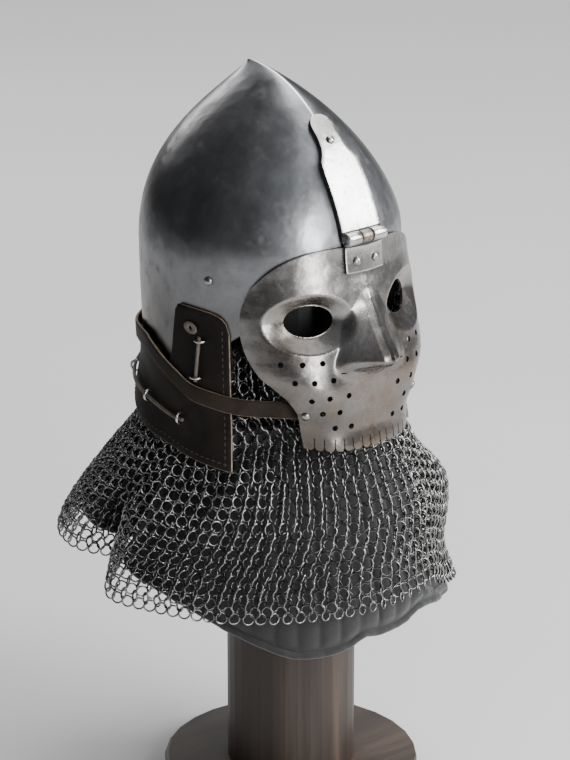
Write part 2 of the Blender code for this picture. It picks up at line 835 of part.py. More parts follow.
def make_face_opening(cutters):
    """Cutter for the face opening, seen from the side and cut right across."""
    side_y = APEX_SETBACK - OPENING_SIDE_SETBACK
    reach = BOWL_FRONT_REACH - OPENING_SIDE_SETBACK
    below = NAPE_RISE + BOWL_HALF_WIDTH
    points = [(side_y, RIM_HEIGHT - below)]
    for forward, up in OPENING_TABLE:
        points.append((side_y - forward * reach, RIM_HEIGHT + up * OPENING_BROW_HEIGHT))
    points.append((side_y - OPENING_TABLE[-1][0] * reach, RIM_HEIGHT - below))
    mesh = outline_mesh("face_opening", points, 4 * BOWL_HALF_WIDTH, cutters)
    cutter = add_object("face_opening", mesh, cutters)
    # The outline's X and Y become the world's Y and Z
    cutter.matrix_world = Matrix(((0, 0, 1, 0), (1, 0, 0, 0), (0, 1, 0, 0), (0, 0, 0, 1)))
    hide_cutter(cutter)
    return cutter


# Visor
# Breath holes of the wearer's right half: height share and angle share of the visor's angle
BREATH_HOLES = (
    (0.463, 0.384),
    (0.463, 0.521),
    (0.463, 0.670),
    (0.377, 0.315),
    (0.374, 0.447),
    (0.376, 0.576),
    (0.287, 0.202),
    (0.288, 0.345),
    (0.280, 0.465),
    (0.209, 0.271),
    (0.209, 0.390),
    (0.121, 0.174),
    (0.123, 0.295),
)
NOSTRILS = ((0.405, 0.10), (0.405, 0.24))


def make_visor(parts, cutters, mat):
    """The mask plate: dished eye holes, a nose, breath holes and a toothed lower edge."""
    columns = []
    for across in spread(-1, 1, VISOR_COLUMNS + 1):
        column = []
        for row in spread(0, 1, VISOR_ROWS + 1):
            angle, z = visor_grid_point(across, row)
            column.append(visor_point(angle, z))
        columns.append(column)
    visor = add_object("visor", grid_mesh("visor", columns), parts, mat)
    add_shell(visor, VISOR_STEEL)
    add_boolean(visor, make_visor_holes(cutters), "DIFFERENCE")
    add_boolean(visor, make_tooth_slits(cutters), "DIFFERENCE")
    return visor


def add_round_cutter(bm, matrix, width, height, depth, sides):
    """Add an upright elliptic cutter to a bmesh, along the matrix's Z."""
    scale = Matrix.Diagonal((width / 2, height / 2, 1, 1))
    bmesh.ops.create_cone(
        bm, cap_ends=True, segments=sides, radius1=1, radius2=1, depth=depth, matrix=matrix @ scale)


def make_visor_holes(cutters):
    """Cutter for the eye holes, the breath holes and the nostril slits."""
    bm = bmesh.new()
    depth = 8 * VISOR_STEEL
    for side in (-1, 1):
        eye_angle = math.asin(eye_place(side) / BOWL_HALF_WIDTH)
        eye = visor_point(eye_angle, visor_height(EYE_LEVEL))
        outward = Vector((math.sin(eye_angle), -math.cos(eye_angle), 0))
        add_round_cutter(
            bm, frame_matrix(eye, outward), EYE_HOLE_WIDTH, EYE_HOLE_HEIGHT, 2 * depth,
            EYE_HOLE_SIDES)
        for share, across in BREATH_HOLES:
            angle = side * across * VISOR_ANGLE
            z = visor_height(share)
            matrix = frame_matrix(visor_point(angle, z), visor_normal(angle, z))
            size = BREATH_HOLE_DIAMETER
            add_round_cutter(bm, matrix, size, size, depth, BREATH_HOLE_SIDES)
        for share, across in NOSTRILS:
            angle = side * across * VISOR_ANGLE
            z = visor_height(share)
            matrix = frame_matrix(visor_point(angle, z), visor_normal(angle, z))
            add_round_cutter(bm, matrix, NOSTRIL_LENGTH, NOSTRIL_WIDTH, depth, 6)
    cutter = add_object("visor_holes", mesh_from(bm, "visor_holes"), cutters)
    hide_cutter(cutter)
    return cutter


def tooth_slit_outline():
    """Outline of one slit with the rounded corners of the teeth beside it."""
    half = TOOTH_SLIT_WIDTH / 2
    right = [(half, TOOTH_SLIT_HEIGHT)]
    for bend in spread(0, math.pi / 2, TOOTH_CORNER_SIDES + 1):
        across = half + TOOTH_CORNER * (1 - math.cos(bend))
        right.append((across, TOOTH_CORNER * (1 - math.sin(bend))))
    right.append((half + TOOTH_CORNER, -TOOTH_CORNER))
    left = [(-x, y) for x, y in reversed(right)]
    return right + left


def make_tooth_slits(cutters):
    """Cutter for the slits that part the teeth of the visor's lower edge."""
    slit = outline_mesh("tooth_slit", tooth_slit_outline(), 5 * VISOR_STEEL, cutters)
    bm = bmesh.new()
    for i in range(TOOTH_SLITS):
        reach = (i - (TOOTH_SLITS - 1) / 2) * TOOTH_PITCH
        angle = tooth_angle(reach)
        across = angle / (VISOR_ANGLE * VISOR_ROWS_TABLE[0][1])
        edge = VISOR_ROWS_TABLE[0][2] * abs(across) ** VISOR_ARCH_POWER
        z = visor_height(edge)
        outward = visor_normal(angle, z + TOOTH_LEAN_RISE)
        matrix = frame_matrix(visor_point(angle, z), outward)
        copy = slit.copy()
        copy.transform(matrix)
        bm.from_mesh(copy)
        bpy.data.meshes.remove(copy)
    cutter = add_object("tooth_slits", mesh_from(bm, "tooth_slits"), cutters)
    hide_cutter(cutter)
    return cutter


def tooth_angle(reach):
    """Angle at which the visor's lower edge has come a given length from the middle."""
    side = -1 if reach < 0 else 1
    travelled = 0.0
    angle = 0.0
    step = math.radians(0.5)
    here = visor_point(0, VISOR_BOTTOM)
    while travelled < abs(reach):
        angle += step
        there = visor_point(angle, VISOR_BOTTOM)
        travelled += (there - here).length
        here = there
    return side * angle


# Hinge
def barrel_centre():
    """Middle of the hinge's barrel, which clears the bowl's crease."""
    z = VISOR_TOP + BARREL_RISE
    return bowl_point(0, z, BARREL_DIAMETER / 2 + 2 * CLEARANCE)


def crease_path(length, offset):
    """Points up the crease from the barrel, each with the length travelled."""
    step = 0.001
    z = barrel_centre().z
    points = [(0.0, bowl_point(0, z, offset))]
    while points[-1][0] < length:
        z += step
        point = bowl_point(0, z, offset)
        points.append((points[-1][0] + (point - points[-1][1]).length, point))
    return points


def along_path(points, distance):
    """Point of a measured path at a distance from its start."""
    lengths = [point[0] for point in points]
    return Vector([float(np.interp(distance, lengths, [p[1][k] for p in points])) for k in range(3)])


# Half-width of the upper leaf by share of its length, as a share of the hinge's half-width
UPPER_LEAF_TABLE = (
    (0.00, 1.00),
    (0.50, 0.97),
    (0.60, 0.93),
    (0.66, 0.72),
    (0.72, 0.60),
    (0.80, 0.55),
)


# Shares of its length where its plain part ends and its neck begins, and of its lobe's rows
UPPER_LEAF_PLAIN = 0.50
UPPER_LEAF_NECK = 0.57
UPPER_LEAF_LOBE = (0.40, 0.75, 0.96)


def upper_leaf_half_width(distance):
    """Half-width of the upper leaf, which ends in a round lobe."""
    tip = UPPER_LEAF_TIP_WIDTH / 2
    lobe = distance - (UPPER_LEAF_LENGTH - tip)
    plain = HINGE_WIDTH / 2 * lookup(UPPER_LEAF_TABLE, distance / UPPER_LEAF_LENGTH, 1)
    if lobe <= 0:
        return plain
    return plain * math.sqrt(max(1 - (lobe / tip) ** 2, 0.01))


def make_upper_leaf(parts, cutters, mat):
    """Long strap of the hinge, flat across, riveted to the bowl's crease."""
    path = crease_path(UPPER_LEAF_LENGTH, CLEARANCE)
    tip = UPPER_LEAF_TIP_WIDTH / 2
    distances = spread(0, UPPER_LEAF_LENGTH * UPPER_LEAF_PLAIN, 5)
    distances += spread(UPPER_LEAF_LENGTH * UPPER_LEAF_NECK, UPPER_LEAF_LENGTH - tip, 5)
    distances += [UPPER_LEAF_LENGTH - tip * (1 - share) for share in UPPER_LEAF_LOBE]
    columns = []
    for across in (-1.0, 0.0, 1.0):
        column = []
        for distance in distances:
            point = along_path(path, distance)
            point.x = across * upper_leaf_half_width(distance)
            column.append(point)
        columns.append(column)
    leaf = add_object("hinge_upper_leaf", grid_mesh("hinge_upper_leaf", columns), parts, mat)
    add_shell(leaf, HINGE_PLATE, 1)
    outer = (HINGE_WIDTH - MIDDLE_KNUCKLE) / 2 - CLEARANCE
    place = MIDDLE_KNUCKLE / 2 + CLEARANCE + outer / 2
    middle_room = knuckle_cutter("upper_leaf_room", cutters, [0], MIDDLE_KNUCKLE + 2 * CLEARANCE, 2)
    knuckles = knuckle_cutter("upper_leaf_knuckles", cutters, [-place, place], outer, 0)
    add_boolean(leaf, middle_room, "DIFFERENCE")
    add_boolean(leaf, knuckles, "UNION")
    add_boolean(leaf, pin_bore(cutters, "upper_leaf_bore"), "DIFFERENCE")
    return leaf


def knuckle_cutter(name, cutters, places, length, clearances):
    """Cylinders on the hinge's axis, wider by some clearances where they make room."""
    bm = bmesh.new()
    centre = barrel_centre()
    for x in places:
        middle = Vector((x, centre.y, centre.z))
        cylinder_x(bm, middle, BARREL_DIAMETER / 2 + clearances * CLEARANCE, length)
    cutter = add_object(name, mesh_from(bm, name), cutters)
    hide_cutter(cutter)
    return cutter


def pin_bore(cutters, name):
    """Cutter for the pin's bore."""
    bm = bmesh.new()
    cylinder_x(bm, barrel_centre(), PIN_DIAMETER / 2 + CLEARANCE, 2 * HINGE_WIDTH, 12)
    cutter = add_object(name, mesh_from(bm, name), cutters)
    hide_cutter(cutter)
    return cutter


def make_lower_leaf(parts, cutters, mat):
    """Short leaf of the hinge, riveted to the visor."""
    top = barrel_centre().z
    bottom = top - LOWER_LEAF_LENGTH
    columns = []
    for across in spread(-1, 1, 7):
        column = []
        for z in spread(bottom, VISOR_TOP - HINGE_PLATE, LOWER_LEAF_ROWS) + [top]:
            x = across * LOWER_LEAF_WIDTH / 2
            column.append(on_visor_at(x, min(z, VISOR_TOP - HINGE_PLATE / 2), CLEARANCE, z))
        columns.append(column)
    leaf = add_object("hinge_lower_leaf", grid_mesh("hinge_lower_leaf", columns), parts, mat)
    add_shell(leaf, HINGE_PLATE, 1)
    outer = (HINGE_WIDTH - MIDDLE_KNUCKLE) / 2 + CLEARANCE
    place = MIDDLE_KNUCKLE / 2 + outer / 2
    outer_room = knuckle_cutter("lower_leaf_room", cutters, [-place, place], outer, 2)
    knuckle = knuckle_cutter("lower_leaf_knuckle", cutters, [0], MIDDLE_KNUCKLE, 0)
    add_boolean(leaf, outer_room, "DIFFERENCE")
    add_boolean(leaf, knuckle, "UNION")
    add_boolean(leaf, pin_bore(cutters, "lower_leaf_bore"), "DIFFERENCE")
    return leaf


def on_visor_at(x, z, offset, lifted):
    """Point off the visor's outside at a given X, moved straight up to a given height."""
    angle = math.asin(min(abs(x) / BOWL_HALF_WIDTH, 1.0))
    for _ in range(6):
        angle *= 1 + (abs(x) - abs(visor_point(angle, z, offset).x)) / max(abs(x), 0.001)
    side = -1 if x < 0 else 1
    point = visor_point(side * angle, z, offset)
    return Vector((x, point.y, lifted))


def make_pin(parts, mat):
    """Hinge pin through the three knuckles."""
    bm = bmesh.new()
    cylinder_x(bm, barrel_centre(), PIN_DIAMETER / 2, HINGE_WIDTH + 2 * PIN_STICKOUT, 12)
    return add_object("hinge_pin", mesh_from(bm, "hinge_pin"), parts, mat)


# Rivets
def rivet_mesh():
    """A dome-headed rivet as seen from outside, turned from its profile."""
    bm = bmesh.new()
    radius = RIVET_DIAMETER / 2
    rings = []
    for turn in (0, 30, 58):
        bend = math.radians(turn)
        ring = []
        for i in range(RIVET_SIDES):
            spin = math.tau * i / RIVET_SIDES
            reach = radius * math.cos(bend)
            height = CLEARANCE + RIVET_HEIGHT * math.sin(bend)
            ring.append(bm.verts.new((reach * math.cos(spin), reach * math.sin(spin), height)))
        rings.append(ring)
    for low, high in zip(rings, rings[1:]):
        for i in range(RIVET_SIDES):
            j = (i + 1) % RIVET_SIDES
            bm.faces.new((low[i], low[j], high[j], high[i]))
    bm.faces.new(list(reversed(rings[0])))
    top = bm.verts.new((0, 0, CLEARANCE + RIVET_HEIGHT))
    for i in range(RIVET_SIDES):
        bm.faces.new((rings[-1][i], rings[-1][(i + 1) % RIVET_SIDES], top))
    return mesh_from(bm, "rivet")


def place_rivet(name, point, outward, mesh, parts):
    """One rivet with its head outward."""
    rivet = bpy.data.objects.new(name, mesh)
    parts.objects.link(rivet)
    rivet.matrix_world = frame_matrix(point, outward)
    return rivet


def make_rivets(parts, mat):
    """Rivets of the hinge, of the strap and of the bowl's sides."""
    mesh = rivet_mesh()
    mesh.materials.append(mat)
    tip = UPPER_LEAF_TIP_WIDTH / 2
    path = crease_path(UPPER_LEAF_LENGTH, CLEARANCE + HINGE_PLATE)
    here = along_path(path, UPPER_LEAF_LENGTH - 2 * tip)
    tangent = along_path(path, UPPER_LEAF_LENGTH - tip) - here
    place_rivet("hinge_upper_rivet", here, Vector((1, 0, 0)).cross(tangent), mesh, parts)
    low = barrel_centre().z - LOWER_RIVET_DROP
    for side, word in ((-1, "right"), (1, "left")):
        x = side * LOWER_RIVET_SPACING / 2
        point = on_visor_at(x, low, 1.5 * CLEARANCE + HINGE_PLATE, low)
        outward = visor_normal(math.asin(x / BOWL_HALF_WIDTH), low)
        place_rivet("hinge_lower_rivet_" + word, point, outward, mesh, parts)
        angle = side * STRAP_RIVET_ANGLE
        z = strap_height(angle)
        outward = visor_normal(angle, z)
        place_rivet("strap_rivet_" + word, visor_point(angle, z), outward, mesh, parts)
        angle = side * SIDE_RIVET_ANGLE
        z = RIM_HEIGHT + SIDE_RIVET_LEVEL * BOWL_HEIGHT
        outward = bowl_point(angle, z, STEEL) - bowl_outside(angle, z)
        place_rivet("bowl_rivet_" + word, bowl_outside(angle, z), outward, mesh, parts)


# Leather
def make_leather_band(parts, mat):
    """Leather that carries the mail: high side panels joined by a lower band round the nape."""
    half = sorted([row[0] for row in LEATHER_TABLE[:-1]] + LEATHER_BETWEEN)
    columns = []
    for value in half + [180.0] + [360 - value for value in reversed(half)]:
        angle = math.radians(wrap(value))
        top, bottom = leather_edges(angle)
        heights = spread(bottom, top, LEATHER_ROWS + 1)
        columns.append([leather_point(angle, z) for z in heights])
    band = add_object("leather_band", grid_mesh("leather_band", columns), parts, mat)
    add_shell(band, LEATHER)
    return band


def make_strap(parts, mat):
    """Strap from one side of the visor round the back of the bowl to the other side."""
    start = math.degrees(STRAP_ANGLE)
    columns = []
    for value in spread(start, 360 - start, STRAP_COLUMNS + 1):
        angle = math.radians(wrap(value))
        columns.append([strap_point(angle, lift) for lift in (-STRAP_WIDTH / 2, STRAP_WIDTH / 2)])
    strap = add_object("visor_strap", grid_mesh("visor_strap", columns), parts, mat)
    add_shell(strap, STRAP_THICKNESS)
    return strap


# Lacing
# Staples of one side: degrees from the front, height over the rim in shares of the bowl's height
UPPER_STAPLES = ((70.7, 0.260), (73.4, 0.143))
LOWER_STAPLES = ((83.5, 0.000), (106.6, 0.023), (131.8, 0.054), (157.0, 0.066))
# Ends of the upper lace, course of the lower lace and middle of the upper lace's knot
UPPER_LACE_TABLE = ((70.7, 0.272), (73.4, 0.131))
LOWER_LACE_TABLE = ((81.5, -0.002), (106.6, 0.023), (131.8, 0.054), (157.0, 0.066), (180.0, 0.068))
LACE_END_PLACE = (75.4, 0.294)
UPPER_LACE_POINTS = 5
LOWER_LACE_POINTS = 25


def over_rim(share):
    """World height of a share of the bowl's height over the rim."""
    return RIM_HEIGHT + share * BOWL_HEIGHT


def lace_point(degrees, level):
    """Point on the middle line of the lace, which lies on the leather."""
    offset = LACE_STANDOFF + LACE_DIAMETER / 2
    return leather_point(math.radians(wrap(degrees)), over_rim(level), offset)


def make_lacing(parts, lace_mat, steel_mat):
    """Laces that run through steel staples on the leather, with a knot at each upper end."""
    first, last = UPPER_LACE_TABLE
    for side, word in ((-1, "right"), (1, "left")):
        upper = []
        for degrees, level in zip(
                spread(first[0], last[0], UPPER_LACE_POINTS),
                spread(first[1], last[1], UPPER_LACE_POINTS)):
            upper.append(lace_point(side * degrees, level))
        curve_object("lace_upper_" + word, [upper], parts, lace_mat, LACE_DIAMETER / 2)
        for number, (degrees, level) in enumerate(UPPER_STAPLES, 1):
            name = "staple_upper_%s_%d" % (word, number)
            upright = Vector((0, 0, 1))
            place_staple(name, side * degrees, level, upright, parts, steel_mat)
        for number, (degrees, level) in enumerate(LOWER_STAPLES, 1):
            name = "staple_lower_%s_%d" % (word, number)
            ahead = lace_point(side * (degrees + 1), level) - lace_point(side * degrees, level)
            place_staple(name, side * degrees, level, ahead, parts, steel_mat)
        make_lace_end(side, word, parts, lace_mat)
    lower = []
    start = LOWER_LACE_TABLE[0][0]
    for degrees in spread(start, 360 - start, LOWER_LACE_POINTS):
        level = eased(LOWER_LACE_TABLE, abs(wrap(degrees)), 1)
        lower.append(lace_point(degrees, level))
    curve_object("lace_lower", [lower], parts, lace_mat, LACE_DIAMETER / 2)


def place_staple(name, degrees, level, direction, parts, mat):
    """Half ring of wire that straddles the lace and stands on the leather."""
    angle = math.radians(degrees)
    outward = leather_normal(angle, over_rim(level))
    foot = leather_point(angle, over_rim(level)) + outward * LACE_STANDOFF
    across = outward.cross(direction).normalized()
    points = []
    for turn in spread(0, math.pi, STAPLE_BENDS + 1):
        reach = STAPLE_RADIUS * math.cos(turn)
        rise = STAPLE_RADIUS * math.sin(turn)
        points.append(foot + across * reach + outward * rise)
    return curve_object(name, [points], parts, mat, STAPLE_WIRE / 2)


def make_lace_end(side, word, parts, mat):
    """Flat oval knot with a hole, in which the upper lace ends."""
    angle = math.radians(side * LACE_END_PLACE[0])
    z = over_rim(LACE_END_PLACE[1])
    outward = leather_normal(angle, z)
    bm = bmesh.new()
    hole = (LACE_END_HOLE / 2, LACE_END_HOLE / 2)
    edge = (LACE_END_LENGTH / 2, LACE_END_WIDTH / 2)
    rings = []
    top = LACE_END_HEIGHT
    for (length, width), height in ((hole, 0), (edge, 0), (edge, top), (hole, top)):
        ring = []
        for i in range(LACE_END_SIDES):
            spin = math.tau * i / LACE_END_SIDES
            ring.append(bm.verts.new((length * math.cos(spin), width * math.sin(spin), height)))
        rings.append(ring)
    for k in range(len(rings)):
        low = rings[k]
        high = rings[(k + 1) % len(rings)]
        for i in range(LACE_END_SIDES):
            j = (i + 1) % LACE_END_SIDES
            bm.faces.new((low[i], low[j], high[j], high[i]))
    bmesh.ops.recalc_face_normals(bm, faces=bm.faces)
    knot = add_object("lace_end_" + word, mesh_from(bm, "lace_end_" + word), parts, mat)
    tilt = Matrix.Rotation(side * LACE_END_TILT, 4, "Z")
    foot = leather_point(angle, z) + outward * 2 * CLEARANCE
    knot.matrix_world = frame_matrix(foot, outward) @ tilt
    return knot


# Mail and collar
def make_mail(parts, mat):
    """The mail curtain as one solid wall, with its folds and its stepped hem."""
    columns = []
    for i in range(MAIL_COLUMNS):
        angle = math.tau * i / MAIL_COLUMNS - math.pi
        top, flare, hem = mail_levels(angle)
        heights = spread(hem, flare, MAIL_ROWS) + [top]
        columns.append([mail_point(angle, z) for z in heights])
    mail = add_object("mail_aventail", grid_mesh("mail_aventail", columns, True), parts, mat)
    add_shell(mail, MAIL_WALL)
    return mail


def make_collar(parts, mat):
    """The quilted collar under the mail, as one padded wall."""
    columns = []
    for i in range(MAIL_COLUMNS):
        angle = math.tau * i / MAIL_COLUMNS - math.pi
        top, hem = collar_levels(angle)
        heights = [hem, collar_lip(angle), mail_levels(angle)[1], top]
        columns.append([collar_point(angle, z) for z in heights])
    collar = add_object("padded_collar", grid_mesh("padded_collar", columns, True), parts, mat)
    add_shell(collar, COLLAR_WALL)
    return collar


# Stand
def make_stand(parts, cutters, mat):
    """Round base and a post whose top is shaped to the inside of the bowl."""
    bpy.ops.mesh.primitive_cylinder_add(
        vertices=BASE_SIDES, radius=BASE_DIAMETER / 2, depth=BASE_THICKNESS,
        location=(0, 0, BASE_THICKNESS / 2))
    base = bpy.context.object
    adopt(base, "stand_base", parts, mat)
    rounding = base.modifiers.new("Edge", "BEVEL")
    rounding.width = BASE_EDGE_ROUNDING
    rounding.segments = 2
    rounding.limit_method = "ANGLE"
    bottom = BASE_THICKNESS + CLEARANCE
    top = APEX_HEIGHT
    bpy.ops.mesh.primitive_cylinder_add(
        vertices=POST_SIDES, radius=POST_DIAMETER / 2, depth=top - bottom,
        location=(0, 0, (top + bottom) / 2))
    post = bpy.context.object
    adopt(post, "stand_post", parts, mat)
    add_boolean(post, make_bowl_room(cutters), "INTERSECT")
    return base, post


def adopt(obj, name, collection, mat):
    """Name an object, move it to a collection and give it its material."""
    obj.name = name
    obj.data.name = name
    for owner in list(obj.users_collection):
        owner.objects.unlink(obj)
    collection.objects.link(obj)
    obj.data.materials.append(mat)
    obj.data.shade_smooth()
    obj.data.set_sharp_from_angle(angle=math.radians(40))


def make_bowl_room(cutters):
    """Solid that fills the inside of the bowl and all that is below it."""
    offset = -STEEL - 3 * CLEARANCE
    columns = []
    for angle in bowl_angles():
        column = [bowl_point(angle, z, offset) for z in bowl_rows(angle)]
        foot = column[0].copy()
        foot.z = -BASE_THICKNESS
        columns.append([foot] + column)
    apex = Vector((0, APEX_SETBACK, APEX_HEIGHT - 4 * STEEL))
    mesh = grid_mesh("bowl_room", columns, True, apex)
    bm = bmesh.new()
    bm.from_mesh(mesh)
    bmesh.ops.holes_fill(bm, edges=[edge for edge in bm.edges if edge.is_boundary])
    bmesh.ops.recalc_face_normals(bm, faces=bm.faces)
    bm.to_mesh(mesh)
    bm.free()
    room = add_object("bowl_room", mesh, cutters)
    hide_cutter(room)
    return room


def main():
    """Build the whole object."""
    clear_scene()
    parts = new_collection("bascinet")
    cutters = new_collection("cutters")
    skull_steel = material("skull_steel", (0.42, 0.42, 0.43), 0.38, 1.0)
    visor_steel = material("visor_steel", (0.46, 0.45, 0.44), 0.34, 1.0)
    bright_steel = material("bright_steel", (0.62, 0.61, 0.60), 0.25, 1.0)
    leather = material("leather", (0.022, 0.018, 0.016), 0.62, 0.0)
    lace = material("lace", (0.10, 0.08, 0.065), 0.6, 0.0)
    mail = material("mail_steel", (0.20, 0.20, 0.20), 0.40, 1.0)
    padding = material("padding", (0.012, 0.012, 0.013), 0.92, 0.0)
    wood = material("wood", (0.050, 0.032, 0.022), 0.70, 0.0)
    make_stand(parts, cutters, wood)
    make_skull(parts, cutters, skull_steel)
    make_visor(parts, cutters, visor_steel)
    make_upper_leaf(parts, cutters, bright_steel)
    make_lower_leaf(parts, cutters, bright_steel)
    make_pin(parts, bright_steel)
    make_rivets(parts, bright_steel)
    make_leather_band(parts, leather)
    make_strap(parts, leather)
    make_lacing(parts, lace, bright_steel)
    make_mail(parts, mail)
    make_collar(parts, padding)


main()
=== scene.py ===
"""Looks of a bascinet with a mask visor, a mail aventail and a padded collar on a wooden stand.

Metres, +Z up. The helmet faces -Y and the wearer's right hand is on -X. The surfaces are the ones
that the part's own sizes give, drawn finer, and each finer piece stands for its node.
"""

import math
import random

import bmesh
import bpy
import numpy as np
from mathutils import Matrix, Vector


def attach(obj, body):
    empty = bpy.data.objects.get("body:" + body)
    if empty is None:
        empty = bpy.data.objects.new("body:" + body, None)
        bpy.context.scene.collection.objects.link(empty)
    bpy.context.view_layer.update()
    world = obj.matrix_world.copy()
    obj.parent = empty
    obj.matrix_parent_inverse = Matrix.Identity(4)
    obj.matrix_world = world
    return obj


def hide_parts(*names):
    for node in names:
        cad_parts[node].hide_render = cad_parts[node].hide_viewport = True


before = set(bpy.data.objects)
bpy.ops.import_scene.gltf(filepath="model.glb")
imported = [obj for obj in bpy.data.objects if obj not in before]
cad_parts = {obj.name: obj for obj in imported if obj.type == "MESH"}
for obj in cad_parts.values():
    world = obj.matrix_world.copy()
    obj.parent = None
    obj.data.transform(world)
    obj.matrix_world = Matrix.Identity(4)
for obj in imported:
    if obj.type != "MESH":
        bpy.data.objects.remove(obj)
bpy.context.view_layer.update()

# Bowl of the helmet, its outside
RIM_HEIGHT = 0.355
BOWL_HEIGHT = 0.2755
BOWL_HALF_WIDTH = 0.108
BOWL_FRONT_REACH = 0.142
BOWL_BACK_REACH = 0.0848
APEX_SETBACK = 0.0546
CREASE_SHIFT = 0.105
NAPE_TUCK = 0.012
NAPE_RISE = 0.020
STEEL = 0.002

# Face opening of the bowl, seen from the side
OPENING_SIDE_SETBACK = 0.0616
OPENING_BROW_HEIGHT = 0.131

# Visor
VISOR_DROP = 0.017
VISOR_HEIGHT = 0.168
VISOR_ANGLE = math.radians(54)
VISOR_STANDOFF = 0.0012
VISOR_STEEL = 0.002
VISOR_BULGE = 0.0145
VISOR_EDGE_BULGE = 0.0055
VISOR_CHEEK_BULGE = 0.0085
VISOR_CHEEK_PLACE = 0.7
EYE_SPACING = 0.0935
EYE_SHIFT = 0.0025
EYE_LEVEL = 0.647
EYE_HOLE_WIDTH = 0.041
EYE_HOLE_HEIGHT = 0.0255
EYE_DISH_WIDTH = 0.062
EYE_DISH_HEIGHT = 0.048
EYE_DISH_DEPTH = 0.008
EYE_DISH_ROUNDING = 0.15
EYE_DISH_LIMIT = 1.3
NOSE_REACH = 0.027
NOSE_WIDTH = 0.062
NOSE_HOLLOW = 1.15
NOSTRIL_LENGTH = 0.006
NOSTRIL_WIDTH = 0.0012
BREATH_HOLE_DIAMETER = 0.0048
TOOTH_PITCH = 0.0084
TOOTH_SLIT_HEIGHT = 0.0105
TOOTH_SLIT_WIDTH = 0.0008
TOOTH_CORNER = 0.0035
TOOTH_SLITS = 14
TOOTH_LEAN_RISE = 0.005

# Brow hinge
HINGE_WIDTH = 0.040
HINGE_PLATE = 0.003
BARREL_DIAMETER = 0.011
BARREL_RISE = 0.006
MIDDLE_KNUCKLE = 0.0105
PIN_DIAMETER = 0.0046
UPPER_LEAF_LENGTH = 0.104
UPPER_LEAF_TIP_WIDTH = 0.023
LOWER_LEAF_LENGTH = 0.029
LOWER_LEAF_WIDTH = 0.038
LOWER_RIVET_DROP = 0.0190
LOWER_RIVET_SPACING = 0.0196
RIVET_DIAMETER = 0.0075
RIVET_HEIGHT = 0.0024
SIDE_RIVET_ANGLE = math.radians(67.5)
SIDE_RIVET_LEVEL = 0.443

# Leather
LEATHER = 0.0025
LEATHER_STANDOFF = 0.0006
NAPE_START_DEGREES = 85
NAPE_BLEND_DEGREES = 40
LEATHER_FLARE = 0.004
LEATHER_FLARE_SPAN = 0.044
NAPE_FLARE = 0.005
NAPE_FLARE_SPAN = 0.008
NAPE_FLARE_RISE = 0.0385
STRAP_WIDTH = 0.014
STRAP_THICKNESS = 0.0024
STRAP_RISE_DEGREES = 38
STRAP_BLEND_DEGREES = 16
STRAP_ANGLE = math.radians(22.5)
STRAP_RIVET_ANGLE = math.radians(27)

# Lacing of the leather to the bowl
LACE_DIAMETER = 0.003
LACE_STANDOFF = 0.0013
STAPLE_RADIUS = 0.0046
STAPLE_WIRE = 0.0021
LACE_END_LENGTH = 0.0135
LACE_END_WIDTH = 0.0095
LACE_END_HOLE = 0.0032
LACE_END_HEIGHT = 0.0026
LACE_END_TILT = math.radians(20)

# Mail curtain and padded collar
MAIL_CENTRE_SETBACK = 0.044
MAIL_HALF_WIDTH = 0.165
MAIL_HALF_DEPTH = 0.170
MAIL_HEM_HEIGHT = 0.198
MAIL_WALL = 0.003
MAIL_FOLD_START = 1.15
MAIL_SIDE_DEGREES = 60
COLLAR_HALF_WIDTH = 0.148
COLLAR_HALF_DEPTH = 0.160
COLLAR_HEM_HEIGHT = 0.160
COLLAR_WALL = 0.008
COLLAR_TOP_DROP = 0.005
COLLAR_ROOM = 0.0075
COLLAR_NECK_RISE = 0.020
COLLAR_LIP = 0.003
COLLAR_FLARE = 1.0
COLLAR_SIDE_SPREAD = 0.07
COLLAR_SIDE_DEGREES = 55
COLLAR_SIDE_BLEND = 35

# Clearance between pieces that touch
CLEARANCE = 0.0003

# Steps over which the slope of a surface is measured
SLOPE_TURN = 0.02
SLOPE_RISE = 0.004

APEX_HEIGHT = RIM_HEIGHT + BOWL_HEIGHT
VISOR_BOTTOM = RIM_HEIGHT - VISOR_DROP
VISOR_TOP = VISOR_BOTTOM + VISOR_HEIGHT


# Small mathematics
def smooth(t):
    """Ease from 0 to 1 with level ends."""
    t = min(max(t, 0.0), 1.0)
    return t * t * (3 - 2 * t)


def lookup(rows, key, column):
    """Straight interpolation in one column of a table whose first column rises."""
    return float(np.interp(key, [row[0] for row in rows], [row[column] for row in rows]))


def eased(rows, key, column):
    """Smooth interpolation in one column of a table whose first column rises."""
    keys = [row[0] for row in rows]
    if key <= keys[0]:
        return rows[0][column]
    if key >= keys[-1]:
        return rows[-1][column]
    i = int(np.searchsorted(keys, key, side="right")) - 1
    span = keys[i + 1] - keys[i]
    t = (key - keys[i]) / span
    values = [row[column] for row in rows]

    def slope(j):
        if j == 0 or j == len(keys) - 1:
            return 0.0
        left = (values[j] - values[j - 1]) / (keys[j] - keys[j - 1])
        right = (values[j + 1] - values[j]) / (keys[j + 1] - keys[j])
        if left * right <= 0:
            return 0.0
        return 2 * left * right / (left + right)

    h00 = 2 * t**3 - 3 * t**2 + 1
    h10 = t**3 - 2 * t**2 + t
    h01 = 3 * t**2 - 2 * t**3
    h11 = t**3 - t**2
    return h00 * values[i] + h10 * span * slope(i) + h01 * values[i + 1] + h11 * span * slope(i + 1)


def spread(first, last, count):
    """Evenly spaced values, both ends included."""
    return [first + (last - first) * i / (count - 1) for i in range(count)]


def whole_turn(count):
    """Evenly spaced directions of a whole turn, from 0."""
    return [math.tau * i / count for i in range(count)]


# Shape of the bowl
# Shares of the bowl's height where each side starts to close, and how it closes
SIDE_TAPER = (0.4755, 1.90, 1.03)
FRONT_TAPER = (0.5445, 1.35, 0.47)
BACK_TAPER = (0.5263, 2.36, 1.20)


